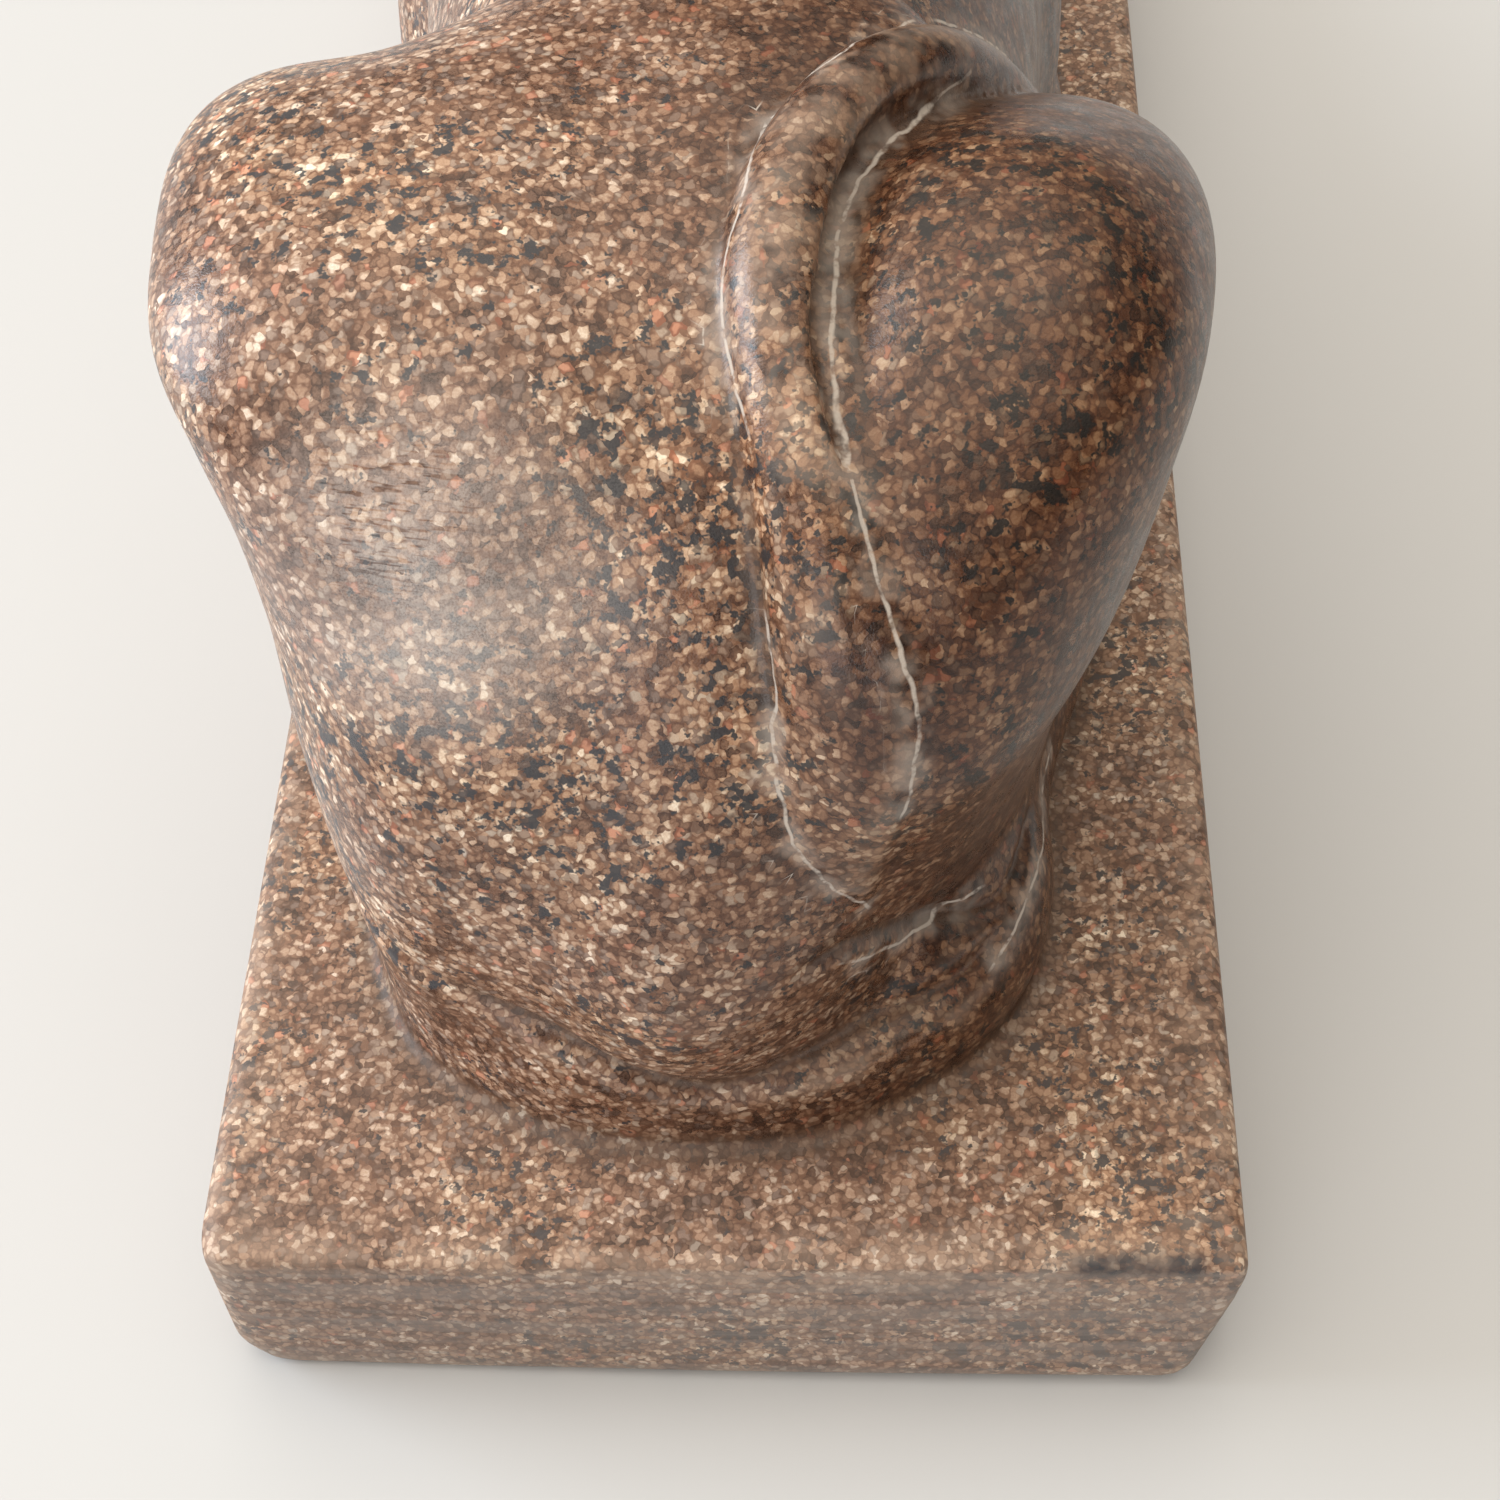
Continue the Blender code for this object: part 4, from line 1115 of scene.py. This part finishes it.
    def dust(self):
        """Dust in broken strands with a haze round them, and how much there is of it."""
        stray = self.product(self.math("SUBTRACT", self.patches, 0.5), DUST_WAVER)
        offset = self.math("ABSOLUTE", self.math("ADD", self.mark("sideways"), stray))
        strand = self.product(self.between(offset, *DUST_STRAND), self.between(self.ragged, *BROKEN_STRANDS))
        haze = self.product(self.between(offset, *DUST_HAZE), self.between(self.patches, *BROKEN_HAZE))
        share = self.math("MAXIMUM", strand, haze)
        share = self.product(share, self.between(self.mark("dusty"), *DUSTY), True)
        self.paint(share, DUST)
        return share

    def gloss(self, dust):
        """Polish that is uneven in patches and dull on the plinth and under dust."""
        rough = self.between(self.patches, *PATCH_GLOSS)
        rough = self.math("ADD", rough, self.product(self.plinth, MATT_PLINTH))
        rough = self.math("ADD", rough, self.product(dust, MATT_DUST))
        rough = self.math("ADD", rough, self.between(self.grit, *GRIT_GLOSS), True)
        self.link(rough, self.shader.inputs["Roughness"])
        bump = self.new("Bump")
        bump.inputs["Strength"].default_value = BUMP_STRENGTH
        bump.inputs["Distance"].default_value = BUMP_DEPTH
        self.link(self.grit, bump.inputs["Height"])
        self.link(bump.outputs["Normal"], self.shader.inputs["Normal"])


def plain(name, colour, roughness):
    n = Nodes(name)
    n.link((*colour, 1), n.shader.inputs["Base Color"])
    n.link(roughness, n.shader.inputs["Roughness"])
    return n.material


def make_camera():
    """Stands the camera where the photograph was taken from."""
    data = bpy.data.cameras.new("photo camera")
    data.sensor_width = SENSOR_WIDTH
    data.lens = SENSOR_WIDTH * FOCAL_PIXELS / PHOTO_SIZE
    data.clip_start = 0.01
    pitch, yaw, roll = (math.radians(v) for v in (CAMERA_PITCH, CAMERA_YAW, CAMERA_ROLL))
    ahead = Vector((math.sin(yaw) * math.cos(pitch), math.cos(yaw) * math.cos(pitch), -math.sin(pitch)))
    right = Vector((math.cos(yaw), -math.sin(yaw), 0))
    above = right.cross(ahead)
    right, above = (math.cos(roll) * right + math.sin(roll) * above,
                    math.cos(roll) * above - math.sin(roll) * right)
    grid_to_world = Matrix.Diagonal((-1, -1, 1))
    axes = [grid_to_world @ axis for axis in (right, above, -ahead)]
    obj = new_object("photo camera", data)
    obj.matrix_world = Matrix(axes).transposed().to_4x4()
    obj.location = at(*CAMERA_PLACE)
    bpy.context.scene.camera = obj


# The studio, in metres and watts. Its lamps: azimuth, elevation, distance, size, power and colour
LAMPS = {
    "side window": (-10, 20, 6.0, 4.0, 340, (0.80, 0.90, 1.0)),
    "rear window": (70, 12, 2.4, 1.4, 12, (0.96, 0.98, 1.0)),
}
LAMP_BASE = 0.1
AIM = (0, 0.05, LAMP_BASE)
SKY = (
    (0.0, (0.06, 0.056, 0.048)),
    (0.5, (0.54, 0.50, 0.43)),
    (1.0, (2.40, 2.20, 1.90)),
)
SKY_TOP = (0.20, -0.08, 0.97)
MOST_BOUNCES = 3
FLOOR_SIZE = 60
FLOOR_ROUGHNESS = 0.6
PALE = (0.57, 0.58, 0.60)


def towards(azimuth, elevation, distance):
    """A place seen from the figure's middle: azimuth from its left side round to its tail."""
    a, e = math.radians(azimuth), math.radians(elevation)
    level = distance * math.cos(e)
    return (level * math.cos(a), level * math.sin(a), distance * math.sin(e) + LAMP_BASE)


def area_light(name, place, size, power, colour):
    data = bpy.data.lights.new(name, "AREA")
    data.shape = "DISK"
    data.size = size
    data.energy = power
    data.color = colour
    obj = new_object(name, data)
    obj.location = place
    obj.rotation_euler = (Vector(place) - Vector(AIM)).to_track_quat("Z", "Y").to_euler()


def sky():
    """Soft light from above and in front, which fades out towards the horizon."""
    room = bpy.data.worlds.new("soft room")
    room.use_nodes = True
    tree = room.node_tree
    height = tree.nodes.new("ShaderNodeVectorMath")
    height.operation = "DOT_PRODUCT"
    height.inputs[1].default_value = SKY_TOP
    tree.links.new(tree.nodes.new("ShaderNodeTexCoord").outputs["Generated"], height.inputs[0])
    colours = tree.nodes.new("ShaderNodeValToRGB")
    lay_stops(colours.color_ramp, SKY)
    tree.links.new(height.outputs["Value"], colours.inputs["Fac"])
    tree.links.new(colours.outputs["Color"], tree.nodes["Background"].inputs["Color"])
    bpy.context.scene.world = room


def studio():
    """A pale floor, a large window on the figure's left, a small one behind it and the sky."""
    bpy.ops.mesh.primitive_plane_add(size=FLOOR_SIZE)
    floor = bpy.context.object
    floor.name = "floor"
    floor.data.materials.append(plain("pale floor", PALE, FLOOR_ROUGHNESS))
    for name, (azimuth, elevation, distance, size, power, colour) in LAMPS.items():
        area_light(name, towards(azimuth, elevation, distance), size, power, colour)
    sky()
    bpy.context.scene.view_settings.view_transform = "Standard"
    bpy.context.scene.cycles.max_bounces = MOST_BOUNCES


def main():
    stone = sculpt(FINE_GRAIN)
    figure = stone.surface("sphinx_fine")
    finest(figure)
    mark_hollows_and_dust(figure, stone)
    figure.data.materials.append(Granite("speckled granite").material)
    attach(figure, "root")
    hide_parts("sphinx")
    make_camera()
    studio()


main()
